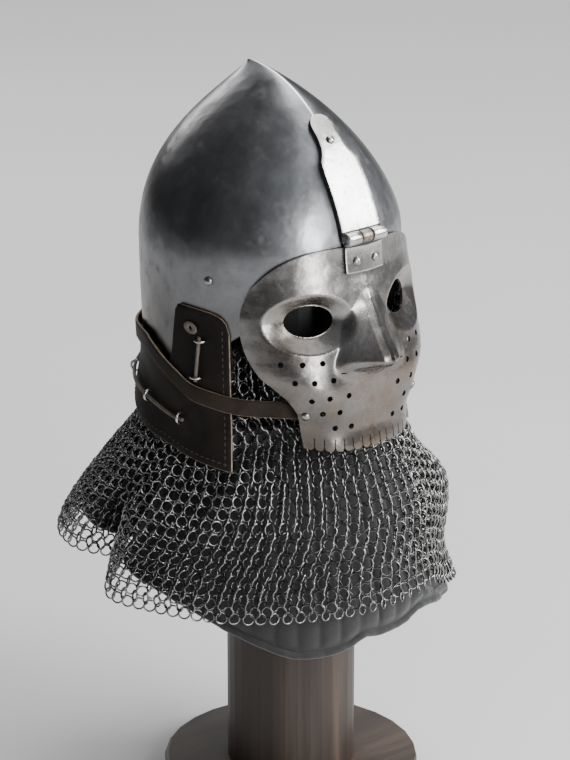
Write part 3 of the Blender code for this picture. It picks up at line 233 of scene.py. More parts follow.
def taper(z, rule):
    """Share of the full reach that the bowl still has at a height."""
    start, power, root = rule
    share = (z - RIM_HEIGHT) / BOWL_HEIGHT
    t = min(max((share - start) / (1 - start), 0.0), 1.0)
    return max(1 - t**power, 0.0) ** root


def bowl_outside(angle, z):
    """Point of the bowl's outside at an angle from the front, positive to the wearer's left."""
    half_width = BOWL_HALF_WIDTH * taper(z, SIDE_TAPER)
    front = BOWL_FRONT_REACH * taper(z, FRONT_TAPER)
    back = BOWL_BACK_REACH * taper(z, BACK_TAPER)
    drop = max((RIM_HEIGHT + BACK_TAPER[0] * BOWL_HEIGHT - z) / BOWL_HEIGHT, 0.0)
    back -= NAPE_TUCK * (drop / BACK_TAPER[0]) ** 2
    centre_y = APEX_SETBACK + (back - front) / 2
    half_depth = (front + back) / 2
    turn = abs(angle)
    side = -1 if angle < 0 else 1
    if turn < math.pi / 2:
        shift = CREASE_SHIFT * half_width
        first = math.asin(shift / (half_width + shift)) if half_width > 0 else 0.0
        tilted = first + (math.pi / 2 - first) * turn / (math.pi / 2)
        x = (half_width + shift) * math.sin(tilted) - shift
        y = centre_y - half_depth * math.cos(tilted) / math.cos(first)
    else:
        x = half_width * math.sin(turn)
        y = centre_y - half_depth * math.cos(turn)
    return Vector((side * x, y, z))


def surface_normal(point, angle, z, rise):
    """Outward normal of a surface that is given as a function of angle and height."""
    along = point(angle + SLOPE_TURN, z) - point(angle - SLOPE_TURN, z)
    up = point(angle, z + rise) - point(angle, z - rise)
    return along.cross(up).normalized()


def bowl_point(angle, z, offset):
    """Point at a distance outside the bowl, along its normal."""
    z = min(z, APEX_HEIGHT - 2 * SLOPE_RISE)
    along = bowl_outside(angle + SLOPE_TURN, z) - bowl_outside(angle - SLOPE_TURN, z)
    if abs(angle) < SLOPE_TURN:
        along = Vector((1, 0, 0))
    up = bowl_outside(angle, z + SLOPE_RISE) - bowl_outside(angle, z - SLOPE_RISE)
    normal = along.cross(up).normalized()
    return bowl_outside(angle, z) + normal * offset


def rim_height(angle):
    """Lower edge of the bowl, which rises towards the nape."""
    return RIM_HEIGHT + NAPE_RISE * smooth((abs(math.degrees(angle)) - 80) / 80)


# Shape of the visor
# Height share of a row at its edge and at the middle, and the edge's share of the visor's angle
VISOR_ROWS_TABLE = (
    # row, edge angle, edge height, middle height
    (0.00, 0.506, 0.018, 0.000),
    (0.10, 0.527, 0.102, 0.095),
    (0.20, 0.550, 0.190, 0.190),
    (0.28, 0.612, 0.262, 0.268),
    (0.35, 0.715, 0.330, 0.342),
    (0.42, 0.812, 0.384, 0.410),
    (0.50, 0.886, 0.450, 0.485),
    (0.58, 0.938, 0.520, 0.560),
    (0.68, 0.966, 0.600, 0.650),
    (0.80, 0.968, 0.680, 0.760),
    (0.90, 0.945, 0.748, 0.880),
    (1.00, 0.900, 0.808, 1.000),
)
VISOR_ARCH_POWER = 3.6
# How far the plate stands out, by height share, as shares of the middle, edge and cheek bulges
VISOR_BULGE_TABLE = (
    # height, middle, edge, cheek
    (0.00, 1.20, 1.00, 0.20),
    (0.12, 1.00, 0.75, 0.35),
    (0.22, 1.00, 0.55, 0.90),
    (0.33, 1.04, 0.45, 1.00),
    (0.40, 1.00, 0.45, 0.84),
    (0.47, 0.90, 0.45, 0.56),
    (0.55, 0.75, 0.42, 0.42),
    (0.66, 0.55, 0.38, 0.30),
    (0.77, 0.40, 0.20, 0.10),
    (0.88, 0.12, 0.05, 0.03),
    (1.00, 0.00, 0.00, 0.00),
)
# Nose, by height share: reach and half-width as shares of the nose's own sizes
NOSE_TABLE = (
    # height, reach, half-width
    (0.350, 0.00, 0.95),
    (0.395, 0.22, 1.00),
    (0.440, 0.80, 1.00),
    (0.472, 1.00, 0.96),
    (0.560, 0.70, 0.78),
    (0.660, 0.36, 0.58),
    (0.740, 0.10, 0.36),
    (0.790, 0.00, 0.25),
)


def visor_height(share):
    """World height of a share of the visor's height."""
    return VISOR_BOTTOM + share * VISOR_HEIGHT


def visor_edge_angle(share):
    """Angle of the visor's side edge at a height share."""
    rows = [(row[2], row[1]) for row in VISOR_ROWS_TABLE]
    return VISOR_ANGLE * lookup(rows, share, 1)


def visor_offset(angle, z):
    """How far the visor's outside stands off the bowl."""
    share = (z - VISOR_BOTTOM) / VISOR_HEIGHT
    across = min(abs(angle) / visor_edge_angle(share), 1.0)
    middle = VISOR_BULGE * eased(VISOR_BULGE_TABLE, share, 1)
    edge = VISOR_EDGE_BULGE * eased(VISOR_BULGE_TABLE, share, 2)
    cheek = VISOR_CHEEK_BULGE * eased(VISOR_BULGE_TABLE, share, 3)
    cheek *= smooth(across / VISOR_CHEEK_PLACE)
    out = VISOR_STANDOFF + VISOR_STEEL + edge + (middle - edge) * (1 - across**3) + cheek
    x = bowl_outside(angle, z).x
    return out + nose_relief(abs(x), share) - eye_relief(x, z)


def nose_relief(x, share):
    """Height of the nose over the plate, by distance from the middle plane."""
    reach = NOSE_REACH * eased(NOSE_TABLE, share, 1)
    half_width = NOSE_WIDTH / 2 * eased(NOSE_TABLE, share, 2)
    return reach * max(1 - x / half_width, 0.0) ** NOSE_HOLLOW


def eye_place(side):
    """Distance of an eye's middle from the middle plane: both are a little to the wearer's left."""
    return side * EYE_SPACING / 2 + EYE_SHIFT


def eye_relief(x, z):
    """Depth of the dish round an eye hole, a cone with a little rounding at its outer edge."""
    across = (x - eye_place(-1 if x < EYE_SHIFT else 1)) / (EYE_DISH_WIDTH / 2)
    up = (z - visor_height(EYE_LEVEL)) / (EYE_DISH_HEIGHT / 2)
    hole = EYE_HOLE_WIDTH / EYE_DISH_WIDTH
    fall = (1 - math.hypot(across, up)) / (1 - hole)
    if fall < EYE_DISH_ROUNDING:
        fall = max(fall + EYE_DISH_ROUNDING, 0) ** 2 / (4 * EYE_DISH_ROUNDING)
    return EYE_DISH_DEPTH * min(fall, EYE_DISH_LIMIT)


def visor_point(angle, z, offset=0.0):
    """Point on the visor's outside, or a little off it."""
    return bowl_point(angle, z, visor_offset(angle, z) + offset)


def visor_normal(angle, z):
    """Outward normal of the visor's outside."""
    return surface_normal(visor_point, angle, z, SLOPE_RISE / 2)


def visor_grid_point(across, row):
    """Angle and height of a grid point: across runs from -1 to 1 and row from 0 to 1."""
    angle = across * VISOR_ANGLE * eased(VISOR_ROWS_TABLE, row, 1)
    edge = eased(VISOR_ROWS_TABLE, row, 2)
    middle = eased(VISOR_ROWS_TABLE, row, 3)
    share = middle + (edge - middle) * abs(across) ** VISOR_ARCH_POWER
    return angle, visor_height(share)


# Shape of the leather and its strap
# Top and bottom edges of the leather, as heights over the rim in shares of the bowl's height
LEATHER_TABLE = (
    # degrees from the front, top, bottom
    (57.5, 0.285, -0.136),
    (59.0, 0.318, -0.136),
    (62.0, 0.338, -0.133),
    (68.0, 0.349, -0.126),
    (76.0, 0.354, -0.117),
    (82.5, 0.356, -0.108),
    (84.6, 0.338, -0.105),
    (86.5, 0.255, -0.102),
    (88.5, 0.185, -0.099),
    (94.0, 0.150, -0.091),
    (104.0, 0.165, -0.083),
    (113.0, 0.180, -0.070),
    (122.0, 0.180, -0.040),
    (135.0, 0.165, -0.018),
    (180.0, 0.160, -0.010),
)
# Middle line of the strap, as heights over the rim in shares of the bowl's height
STRAP_TABLE = (
    # degrees from the front, height
    (22.5, 0.055),
    (35.0, 0.060),
    (43.0, 0.064),
    (56.0, 0.071),
    (66.0, 0.081),
    (76.0, 0.093),
    (84.0, 0.121),
    (92.0, 0.147),
    (102.0, 0.180),
    (108.0, 0.196),
    (118.0, 0.196),
    (132.0, 0.180),
    (180.0, 0.168),
)


def leather_edges(angle):
    """Top and bottom heights of the leather at an angle."""
    degrees = abs(math.degrees(angle))
    top = RIM_HEIGHT + BOWL_HEIGHT * eased(LEATHER_TABLE, degrees, 1)
    bottom = RIM_HEIGHT + BOWL_HEIGHT * eased(LEATHER_TABLE, degrees, 2)
    return top, bottom


def leather_point(angle, z, offset=0.0):
    """Point on the leather's outside: it lies on the bowl and flares a little below the rim."""
    behind = smooth((abs(math.degrees(angle)) - NAPE_START_DEGREES) / NAPE_BLEND_DEGREES)
    span = LEATHER_FLARE_SPAN + NAPE_FLARE_SPAN * behind
    start = RIM_HEIGHT + NAPE_FLARE_RISE * behind
    flare = (LEATHER_FLARE + NAPE_FLARE * behind) * smooth((start - z) / span)
    return bowl_point(angle, z, LEATHER_STANDOFF + LEATHER + flare + offset)


def leather_normal(angle, z):
    """Outward normal of the leather's outside."""
    return surface_normal(leather_point, angle, z, SLOPE_RISE)


def strap_height(angle):
    """Height of the strap's middle line at an angle."""
    return RIM_HEIGHT + BOWL_HEIGHT * eased(STRAP_TABLE, abs(math.degrees(angle)), 1)


def strap_point(angle, lift):
    """Point on the strap's outside, which passes over the leather and in behind the visor."""
    degrees = abs(math.degrees(angle))
    over_leather = LEATHER_STANDOFF + LEATHER + 2 * CLEARANCE + STRAP_THICKNESS
    behind_visor = VISOR_STANDOFF + STRAP_THICKNESS - 2 * CLEARANCE
    share = smooth((degrees - STRAP_RISE_DEGREES) / STRAP_BLEND_DEGREES)
    offset = behind_visor + (over_leather - behind_visor) * share
    return bowl_point(angle, strap_height(angle) + lift, offset)


# Shape of the mail and the collar
# Where the curtain leaves the head and how high its top edge stands, over the rim
MAIL_TOP_TABLE = (
    # degrees from the front, top edge, flare start, in shares of the bowl's height
    (0.0, 0.110, -0.045),
    (34.0, 0.120, -0.050),
    (44.0, 0.290, -0.080),
    (54.0, 0.300, -0.110),
    (60.0, 0.210, -0.150),
    (66.0, -0.050, -0.155),
    (73.0, -0.060, -0.150),
    (84.0, -0.070, -0.130),
    (104.0, -0.040, -0.085),
    (120.0, -0.015, -0.040),
    (180.0, -0.010, -0.030),
)
# Hem height, over or under the named hem, in shares of the hem's drop from the rim
MAIL_HEM_TABLE = (
    # degrees, share
    (-180.0, 0.17),
    (-122.0, 0.13),
    (-104.0, 0.10),
    (-95.0, 0.04),
    (-86.0, 0.00),
    (-50.0, 0.00),
    (19.0, 0.00),
    (40.0, -0.13),
    (56.0, -0.18),
    (80.0, -0.05),
    (100.0, 0.10),
    (122.0, 0.15),
    (180.0, 0.17),
)
# Folds of the hem: middle in degrees, depth as a share of the radius, half-width in degrees
MAIL_FOLDS = (
    (-101.0, -0.180, 7.0),
    (-124.0, 0.035, 10.0),
    (-152.0, -0.050, 9.0),
    (-84.0, 0.030, 8.0),
    (-30.0, -0.012, 12.0),
    (33.0, -0.012, 9.0),
    (52.0, 0.025, 12.0),
    (78.0, -0.045, 9.0),
    (104.0, -0.090, 9.0),
    (128.0, 0.030, 10.0),
    (156.0, -0.055, 9.0),
)
# Way out from the head to the hem, by share of the drop, on three sides
MAIL_PROFILE = (
    # drop share, front, back, left lobe
    (0.00, 0.00, 0.00, 0.00),
    (0.10, 0.12, 0.08, 0.15),
    (0.20, 0.32, 0.18, 0.33),
    (0.32, 0.58, 0.32, 0.68),
    (0.44, 0.80, 0.47, 0.83),
    (0.56, 0.90, 0.61, 0.82),
    (0.75, 0.93, 0.82, 0.74),
    (0.90, 0.96, 0.95, 0.86),
    (1.00, 1.00, 1.00, 1.00),
)
# Lobe of the curtain over the wearer's left shoulder, in degrees
LEFT_LOBE_DEGREES = 52.0
LEFT_LOBE_SPREAD = 26.0
COLLAR_LEFT_SPREAD = 0.12
# Hem of the collar, over the named hem, in shares of the hem's drop from the rim
COLLAR_HEM_TABLE = (
    # degrees, rise
    (-180.0, 0.42),
    (-120.0, 0.40),
    (-95.0, 0.34),
    (-75.0, 0.27),
    (-60.0, 0.19),
    (-49.0, 0.12),
    (-41.0, 0.07),
    (-33.0, 0.023),
    (-28.0, 0.003),
    (-21.0, 0.0),
    (-12.0, 0.018),
    (-5.0, 0.055),
    (0.0, 0.045),
    (6.0, 0.045),
    (12.0, 0.056),
    (19.0, 0.082),
    (27.0, 0.070),
    (37.0, 0.043),
    (47.0, 0.012),
    (56.0, 0.0),
    (63.0, 0.08),
    (70.0, 0.18),
    (80.0, 0.30),
    (95.0, 0.36),
    (180.0, 0.42),
)


def wrap(degrees):
    """The same direction between -180 and 180 degrees."""
    return (degrees + 180) % 360 - 180


def fold_share(degrees):
    """Radius of the hem with its folds, as a share of the plain ellipse."""
    total = 1.0
    for middle, depth, half_width in MAIL_FOLDS:
        total += depth * math.exp(-(wrap(degrees - middle) / half_width) ** 2)
    return total


def left_share(angle):
    """How far a direction belongs to the lobe over the wearer's left shoulder, 0 to 1."""
    return math.exp(-(wrap(math.degrees(angle) - LEFT_LOBE_DEGREES) / LEFT_LOBE_SPREAD) ** 2)


def mail_levels(angle):
    """Top edge, start of the flare and hem of the curtain at an angle."""
    degrees = abs(math.degrees(angle))
    top = RIM_HEIGHT + BOWL_HEIGHT * eased(MAIL_TOP_TABLE, degrees, 1)
    if degrees < 90:
        top = min(top, opening_top(bowl_outside(angle, top).y) - 5 * CLEARANCE)
    flare = RIM_HEIGHT + BOWL_HEIGHT * eased(MAIL_TOP_TABLE, degrees, 2)
    drop = RIM_HEIGHT - MAIL_HEM_HEIGHT
    hem = MAIL_HEM_HEIGHT + drop * eased(MAIL_HEM_TABLE, math.degrees(angle), 1)
    return top, flare, hem


def mail_point(angle, z, offset=0.0):
    """Point on the curtain's outside, or a little off it."""
    flare, hem = mail_levels(angle)[1:]
    inside = bowl_point(angle, max(z, flare), offset - CLEARANCE - STEEL / 2)
    if z >= flare:
        return inside
    share = (flare - z) / (flare - hem)
    front = eased(MAIL_PROFILE, share, 1)
    back = eased(MAIL_PROFILE, share, 2)
    left = eased(MAIL_PROFILE, share, 3)
    behind = smooth((abs(math.degrees(angle)) - MAIL_SIDE_DEGREES) / MAIL_SIDE_DEGREES)
    out = front + (back - front) * behind
    out += (left - out) * left_share(angle)
    fold = 1 + (fold_share(math.degrees(angle)) - 1) * smooth(share * MAIL_FOLD_START)
    hem_x = (MAIL_HALF_WIDTH * fold + offset) * math.sin(angle)
    hem_y = MAIL_CENTRE_SETBACK - (MAIL_HALF_DEPTH * fold + offset) * math.cos(angle)
    x = inside.x + (hem_x - inside.x) * out
    y = inside.y + (hem_y - inside.y) * out
    return Vector((x, y, z))


def collar_levels(angle):
    """Top and hem of the collar at an angle."""
    drop = RIM_HEIGHT - COLLAR_HEM_HEIGHT
    hem = COLLAR_HEM_HEIGHT + drop * eased(COLLAR_HEM_TABLE, math.degrees(angle), 1)
    return RIM_HEIGHT - COLLAR_TOP_DROP, hem


def collar_lip(angle):
    """Height at which the collar starts to flare, just under the hem of the curtain."""
    return max(mail_levels(angle)[2] - COLLAR_LIP, collar_levels(angle)[1] + COLLAR_LIP)


def collar_point(angle, z, offset=0.0):
    """Point on the collar's outside, which runs straight from the neck to the curtain's hem."""
    flare = mail_levels(angle)[1]
    lip = collar_lip(angle)
    if not lip < z < flare:
        return collar_limit(angle, z, offset)
    low = collar_limit(angle, lip, offset)
    return low.lerp(collar_limit(angle, flare, offset), (z - lip) / (flare - lip))


def collar_limit(angle, z, offset):
    """Point as far out as the collar can reach inside and under the curtain."""
    flare, mail_hem = mail_levels(angle)[1:]
    inner = mail_point(angle, max(z, mail_hem), -MAIL_WALL - 2 * CLEARANCE + offset)
    centre = Vector((0, MAIL_CENTRE_SETBACK, z))
    reach = (Vector((inner.x, inner.y, z)) - centre).length
    behind = smooth((abs(math.degrees(angle)) - COLLAR_SIDE_DEGREES) / COLLAR_SIDE_BLEND)
    own = 1 + COLLAR_LEFT_SPREAD * left_share(angle) * (1 - behind) + COLLAR_SIDE_SPREAD * behind
    own_x = (COLLAR_HALF_WIDTH * own + offset) * math.sin(angle)
    own_y = (COLLAR_HALF_DEPTH * own + offset) * math.cos(angle)
    under_mail = max(mail_hem - COLLAR_LIP - z, 0)
    room = COLLAR_ROOM * (1 - smooth((z - flare) / COLLAR_NECK_RISE))
    reach = min(reach - room + COLLAR_FLARE * under_mail, math.hypot(own_x, own_y))
    direction = (Vector((inner.x, inner.y, z)) - centre).normalized()
    return centre + direction * reach


# Edge of the face opening from the side: forward share of the front reach, height share
OPENING_TABLE = (
    (0.00, 0.300),
    (0.05, 0.420),
    (0.15, 0.490),
    (0.30, 0.545),
    (0.50, 0.655),
    (0.70, 0.805),
    (0.88, 0.940),
    (1.30, 1.000),
)


def opening_top(y):
    """Height of the top edge of the face opening, seen from the side."""
    side_y = APEX_SETBACK - OPENING_SIDE_SETBACK
    reach = BOWL_FRONT_REACH - OPENING_SIDE_SETBACK
    return RIM_HEIGHT + OPENING_BROW_HEIGHT * lookup(OPENING_TABLE, (side_y - y) / reach, 1)


# Breath holes of the wearer's right half: height share and angle share of the visor's angle
BREATH_HOLES = (
    (0.463, 0.384),
    (0.463, 0.521),
    (0.463, 0.670),
    (0.377, 0.315),
    (0.374, 0.447),
    (0.376, 0.576),
    (0.287, 0.202),
    (0.288, 0.345),
    (0.280, 0.465),
    (0.209, 0.271),
    (0.209, 0.390),
    (0.121, 0.174),
    (0.123, 0.295),
)
NOSTRILS = ((0.405, 0.10), (0.405, 0.24))


def tooth_angle(reach):
    """Angle at which the visor's lower edge has come a given length from the middle."""
    side = -1 if reach < 0 else 1
    travelled = 0.0
    angle = 0.0
    step = math.radians(0.5)
    here = visor_point(0, VISOR_BOTTOM)
    while travelled < abs(reach):
        angle += step
        there = visor_point(angle, VISOR_BOTTOM)
        travelled += (there - here).length
        here = there
    return side * angle


def barrel_centre():
    """Middle of the hinge's barrel, which clears the bowl's crease."""
    z = VISOR_TOP + BARREL_RISE
    return bowl_point(0, z, BARREL_DIAMETER / 2 + 2 * CLEARANCE)


def crease_path(length, offset):
    """Points up the crease from the barrel, each with the length travelled."""
    step = 0.001
    z = barrel_centre().z
    points = [(0.0, bowl_point(0, z, offset))]
    while points[-1][0] < length:
        z += step
        point = bowl_point(0, z, offset)
        points.append((points[-1][0] + (point - points[-1][1]).length, point))
    return points


def along_path(points, distance):
    """Point of a measured path at a distance from its start."""
    lengths = [point[0] for point in points]
    return Vector([
        float(np.interp(distance, lengths, [point[1][k] for point in points])) for k in range(3)])


# Half-width of the upper leaf by share of its length, as a share of the hinge's half-width
UPPER_LEAF_TABLE = (
    (0.00, 1.00),
    (0.50, 0.97),
    (0.60, 0.93),
    (0.66, 0.72),
    (0.72, 0.60),
    (0.80, 0.55),
)


def upper_leaf_half_width(distance):
    """Half-width of the upper leaf, which ends in a round lobe."""
    tip = UPPER_LEAF_TIP_WIDTH / 2
    lobe = distance - (UPPER_LEAF_LENGTH - tip)
    plain = HINGE_WIDTH / 2 * lookup(UPPER_LEAF_TABLE, distance / UPPER_LEAF_LENGTH, 1)
    if lobe <= 0:
        return plain
    return plain * math.sqrt(max(1 - (lobe / tip) ** 2, 0.01))


# Staples of one side: degrees from the front, height over the rim in shares of the bowl's height
UPPER_STAPLES = ((70.7, 0.260), (73.4, 0.143))
LOWER_STAPLES = ((83.5, 0.000), (106.6, 0.023), (131.8, 0.054), (157.0, 0.066))
# Ends of the upper lace, course of the lower lace and middle of the upper lace's knot
UPPER_LACE_TABLE = ((70.7, 0.272), (73.4, 0.131))
LOWER_LACE_TABLE = ((81.5, -0.002), (106.6, 0.023), (131.8, 0.054), (157.0, 0.066), (180.0, 0.068))
LACE_END_PLACE = (75.4, 0.294)


def over_rim(share):
    """World height of a share of the bowl's height over the rim."""
    return RIM_HEIGHT + share * BOWL_HEIGHT


def lace_point(degrees, level):
    """Point on the middle line of the lace, which lies on the leather."""
    offset = LACE_STANDOFF + LACE_DIAMETER / 2
    return leather_point(math.radians(wrap(degrees)), over_rim(level), offset)


def on_visor_at(x, z, offset, lifted):
    """Point off the visor's outside at a given X, moved straight up to a given height."""
    angle = math.asin(min(abs(x) / BOWL_HALF_WIDTH, 1.0))
    for _ in range(6):
        angle *= 1 + (abs(x) - abs(visor_point(angle, z, offset).x)) / max(abs(x), 0.001)
    side = -1 if x < 0 else 1
    point = visor_point(side * angle, z, offset)
    return Vector((x, point.y, lifted))


# Fine meshes
SKULL_COLUMNS = 144
SKULL_LOWER_ROWS = 22
SKULL_UPPER_ROWS = 44
FINE_VISOR_COLUMNS = 190
FINE_VISOR_ROWS = 160
FINE_TOOTH_SIDES = 6
LEATHER_FINE_ROWS = 24
LEATHER_FINE_STEP = 1.5
SHARP_ANGLE = math.radians(50)
PLATE_ROUNDING = 0.0005
LEATHER_ROUNDING = 0.0004

# Mail
RING_DIAMETER = 0.011
RING_WIRE = 0.0016
RING_SIDES = 14
WIRE_SIDES = 6
RING_PITCH = 0.0104
RING_ROW_PITCH = 0.0055
RING_LEAN = math.radians(50)
HEM_LEAN = math.radians(24)
LEAN_SPREAD = 0.12
NOD_SPREAD = 0.10
OUT_SPREAD = 0.0003
ALONG_SPREAD = 0.0004
RING_INSET = 0.0016
BAND_ROWS = 7
MERIDIANS = 240
MERIDIAN_SAMPLES = 48
MAIL_SEED = 7
MAIL_PIECES = 4

# Stitches and hinge
STITCH_DEGREES = 60.6
STITCH_INSET = 0.0055
STITCH_PITCH = 0.0052
STITCH_SIZE = (0.0034, 0.0011, 0.0005)
SEAM_SIZE = (0.0024, 0.0009, 0.0006)
BEAD_SIDES = 6
BEAD_PROFILE = ((-0.5, 0.35), (-0.3, 0.9), (0.0, 1.0), (0.3, 0.9), (0.5, 0.35))
KNUCKLE_ROUNDING = 0.0006
KNUCKLE_GAP = 0.0011
KNUCKLE_SIDES = 40
MIDDLE_SHARE = 0.93
# How far from the barrel the near-black painted shade on the leaves reaches
LEAF_SHADE_REACH = 0.0016
RIVET_SIDES = 20
RIVET_BENDS = (0, 8, 20, 34, 50, 66, 80)
KNOT_SIDES = 32
KNOT_RIM_SIDES = 16
SIDES = ((-1, "right"), (1, "left"))

# Floor
FLOOR_REACH = 20.0

# Lights: name, place and aim as seen from the camera (right, away, up), width and height, power
MIDDLE = (0, 0, 0.42)
LIGHTS = (
    ("key", (1.90, -0.40, 1.45), MIDDLE, (1.2, 1.4), 84),
    ("strip", (0.95, -1.75, 0.80), MIDDLE, (0.34, 1.3), 24),
    ("rim", (-1.2, 2.0, 1.5), MIDDLE, (0.35, 1.4), 14),
    ("top", (0.7, 0.5, 2.4), MIDDLE, (2.2, 1.6), 20),
    ("backdrop", (0.3, 2.6, 3.6), (0, 2.4, 0), (4.0, 3.0), 130),
)
SURROUND_SIDE = (0.75, -0.25, 0.6)
SURROUND_DARK = (0.06, 0.06, 0.063, 1)
SURROUND_LIGHT = (0.36, 0.37, 0.385, 1)

# Camera
CAMERA_YAW = math.radians(40)
CAMERA_PITCH = math.radians(20.5)
CAMERA_PLACE = Vector((-1.7193, -2.0412, 1.3614))
CAMERA_LENS = 161.05


# Mesh helpers
def add_piece(name, mesh, mat, slot, *nodes):
    """Put a mesh in the scene as a piece of the object that stands for some nodes."""
    obj = bpy.data.objects.new(name, mesh)
    bpy.context.scene.collection.objects.link(obj)
    if mat is not None:
        mesh.materials.append(mat)
    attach(obj, "root")
    if nodes:
        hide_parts(*nodes)
    return obj


def apply_modifiers(obj):
    """Put the result of the modifiers into the object's own mesh."""
    evaluated = obj.evaluated_get(bpy.context.evaluated_depsgraph_get())
    mesh = bpy.data.meshes.new_from_object(evaluated)
    obj.modifiers.clear()
    obj.data = mesh


def remove_helpers(*objects):
    """Remove helper objects."""
    for obj in objects:
        bpy.data.objects.remove(obj, do_unlink=True)


def grid_mesh(name, columns, closed=False, apex=None):
    """Loft a mesh through columns of points, each from low to high."""
    count = len(columns)
    height = len(columns[0])
    points = [tuple(point) for column in columns for point in column]
    faces = []
    for i in range(count if closed else count - 1):
        j = (i + 1) % count
        for k in range(height - 1):
            faces.append((i * height + k, j * height + k, j * height + k + 1, i * height + k + 1))
    if apex is not None:
        points.append(tuple(apex))
        top = len(points) - 1
        for i in range(count):
            faces.append((i * height + height - 1, ((i + 1) % count) * height + height - 1, top))
    mesh = bpy.data.meshes.new(name)
    mesh.from_pydata(points, [], faces)
    mesh.shade_smooth()
    return mesh


def loft_piece(name, columns, mat, slot, *nodes, closed=False, apex=None):
    """Put a mesh through columns of points in the scene as a piece."""
    return add_piece(name, grid_mesh(name, columns, closed, apex), mat, slot, *nodes)


def add_shell(obj, thickness, offset=-1, rim=0, inside=0):
    """Give an open surface its thickness, and its rim and inside other materials if asked."""
    shell = obj.modifiers.new("Thickness", "SOLIDIFY")
    shell.thickness = thickness
    shell.offset = offset
    shell.use_even_offset = True
    shell.material_offset_rim = rim
    shell.material_offset = inside


def add_cut(obj, other):
    """Cut with another object."""
    cut = obj.modifiers.new("Cut", "BOOLEAN")
    cut.operation = "DIFFERENCE"
    cut.solver = "EXACT"
    cut.object = other


def round_edges(obj, width, segments):
    """Round the sharp edges of a piece."""
    bevel = obj.modifiers.new("Edges", "BEVEL")
    bevel.width = width
    bevel.segments = segments
    bevel.limit_method = "ANGLE"
    bevel.angle_limit = SHARP_ANGLE


def helper(name, mesh):
    """An object that only cuts."""
    obj = bpy.data.objects.new(name, mesh)
    bpy.context.scene.collection.objects.link(obj)
    return obj


def mesh_from(bm, name):
    """Turn a bmesh into a smooth-shaded mesh."""
    mesh = bpy.data.meshes.new(name)
    bm.to_mesh(mesh)
    bm.free()
    mesh.shade_smooth()
    return mesh


def frame_matrix(origin, outward, up=Vector((0, 0, 1))):
    """Matrix whose local Z looks outward and whose local Y looks up."""
    z_axis = outward.normalized()
    x_axis = up.cross(z_axis).normalized()
    y_axis = z_axis.cross(x_axis)
    matrix = Matrix((x_axis, y_axis, z_axis)).transposed().to_4x4()
    matrix.translation = origin
    return matrix


def outline_prism(name, points, depth):
    """A flat outline pushed to a depth on both sides, as a closed mesh."""
    bm = bmesh.new()
    low = [bm.verts.new((x, y, -depth / 2)) for x, y in points]
    high = [bm.verts.new((x, y, depth / 2)) for x, y in points]
    bm.faces.new(list(reversed(low)))
    bm.faces.new(high)
    for i in range(len(points)):
        j = (i + 1) % len(points)
        bm.faces.new((low[i], low[j], high[j], high[i]))
    bmesh.ops.recalc_face_normals(bm, faces=bm.faces)
    mesh = bpy.data.meshes.new(name)
    bm.to_mesh(mesh)
    bm.free()
    return mesh


def tube(name, points, radius, sides, mat, slot, *nodes):
    """Round wire or cord through points, with closed ends, as a mesh piece."""
    curve = bpy.data.curves.new(name, "CURVE")
    curve.dimensions = "3D"
    curve.bevel_depth = radius
    curve.bevel_resolution = max(sides // 2 - 2, 1)
    curve.use_fill_caps = True
    spline = curve.splines.new("POLY")
    spline.points.add(len(points) - 1)
    for target, point in zip(spline.points, points):
        target.co = (*point, 1)
    obj = bpy.data.objects.new(name, curve)
    bpy.context.scene.collection.objects.link(obj)
    mesh = bpy.data.meshes.new_from_object(obj.evaluated_get(bpy.context.evaluated_depsgraph_get()))
    remove_helpers(obj)
    mesh.materials.clear()
    mesh.shade_smooth()
    return add_piece(name, mesh, mat, slot, *nodes)


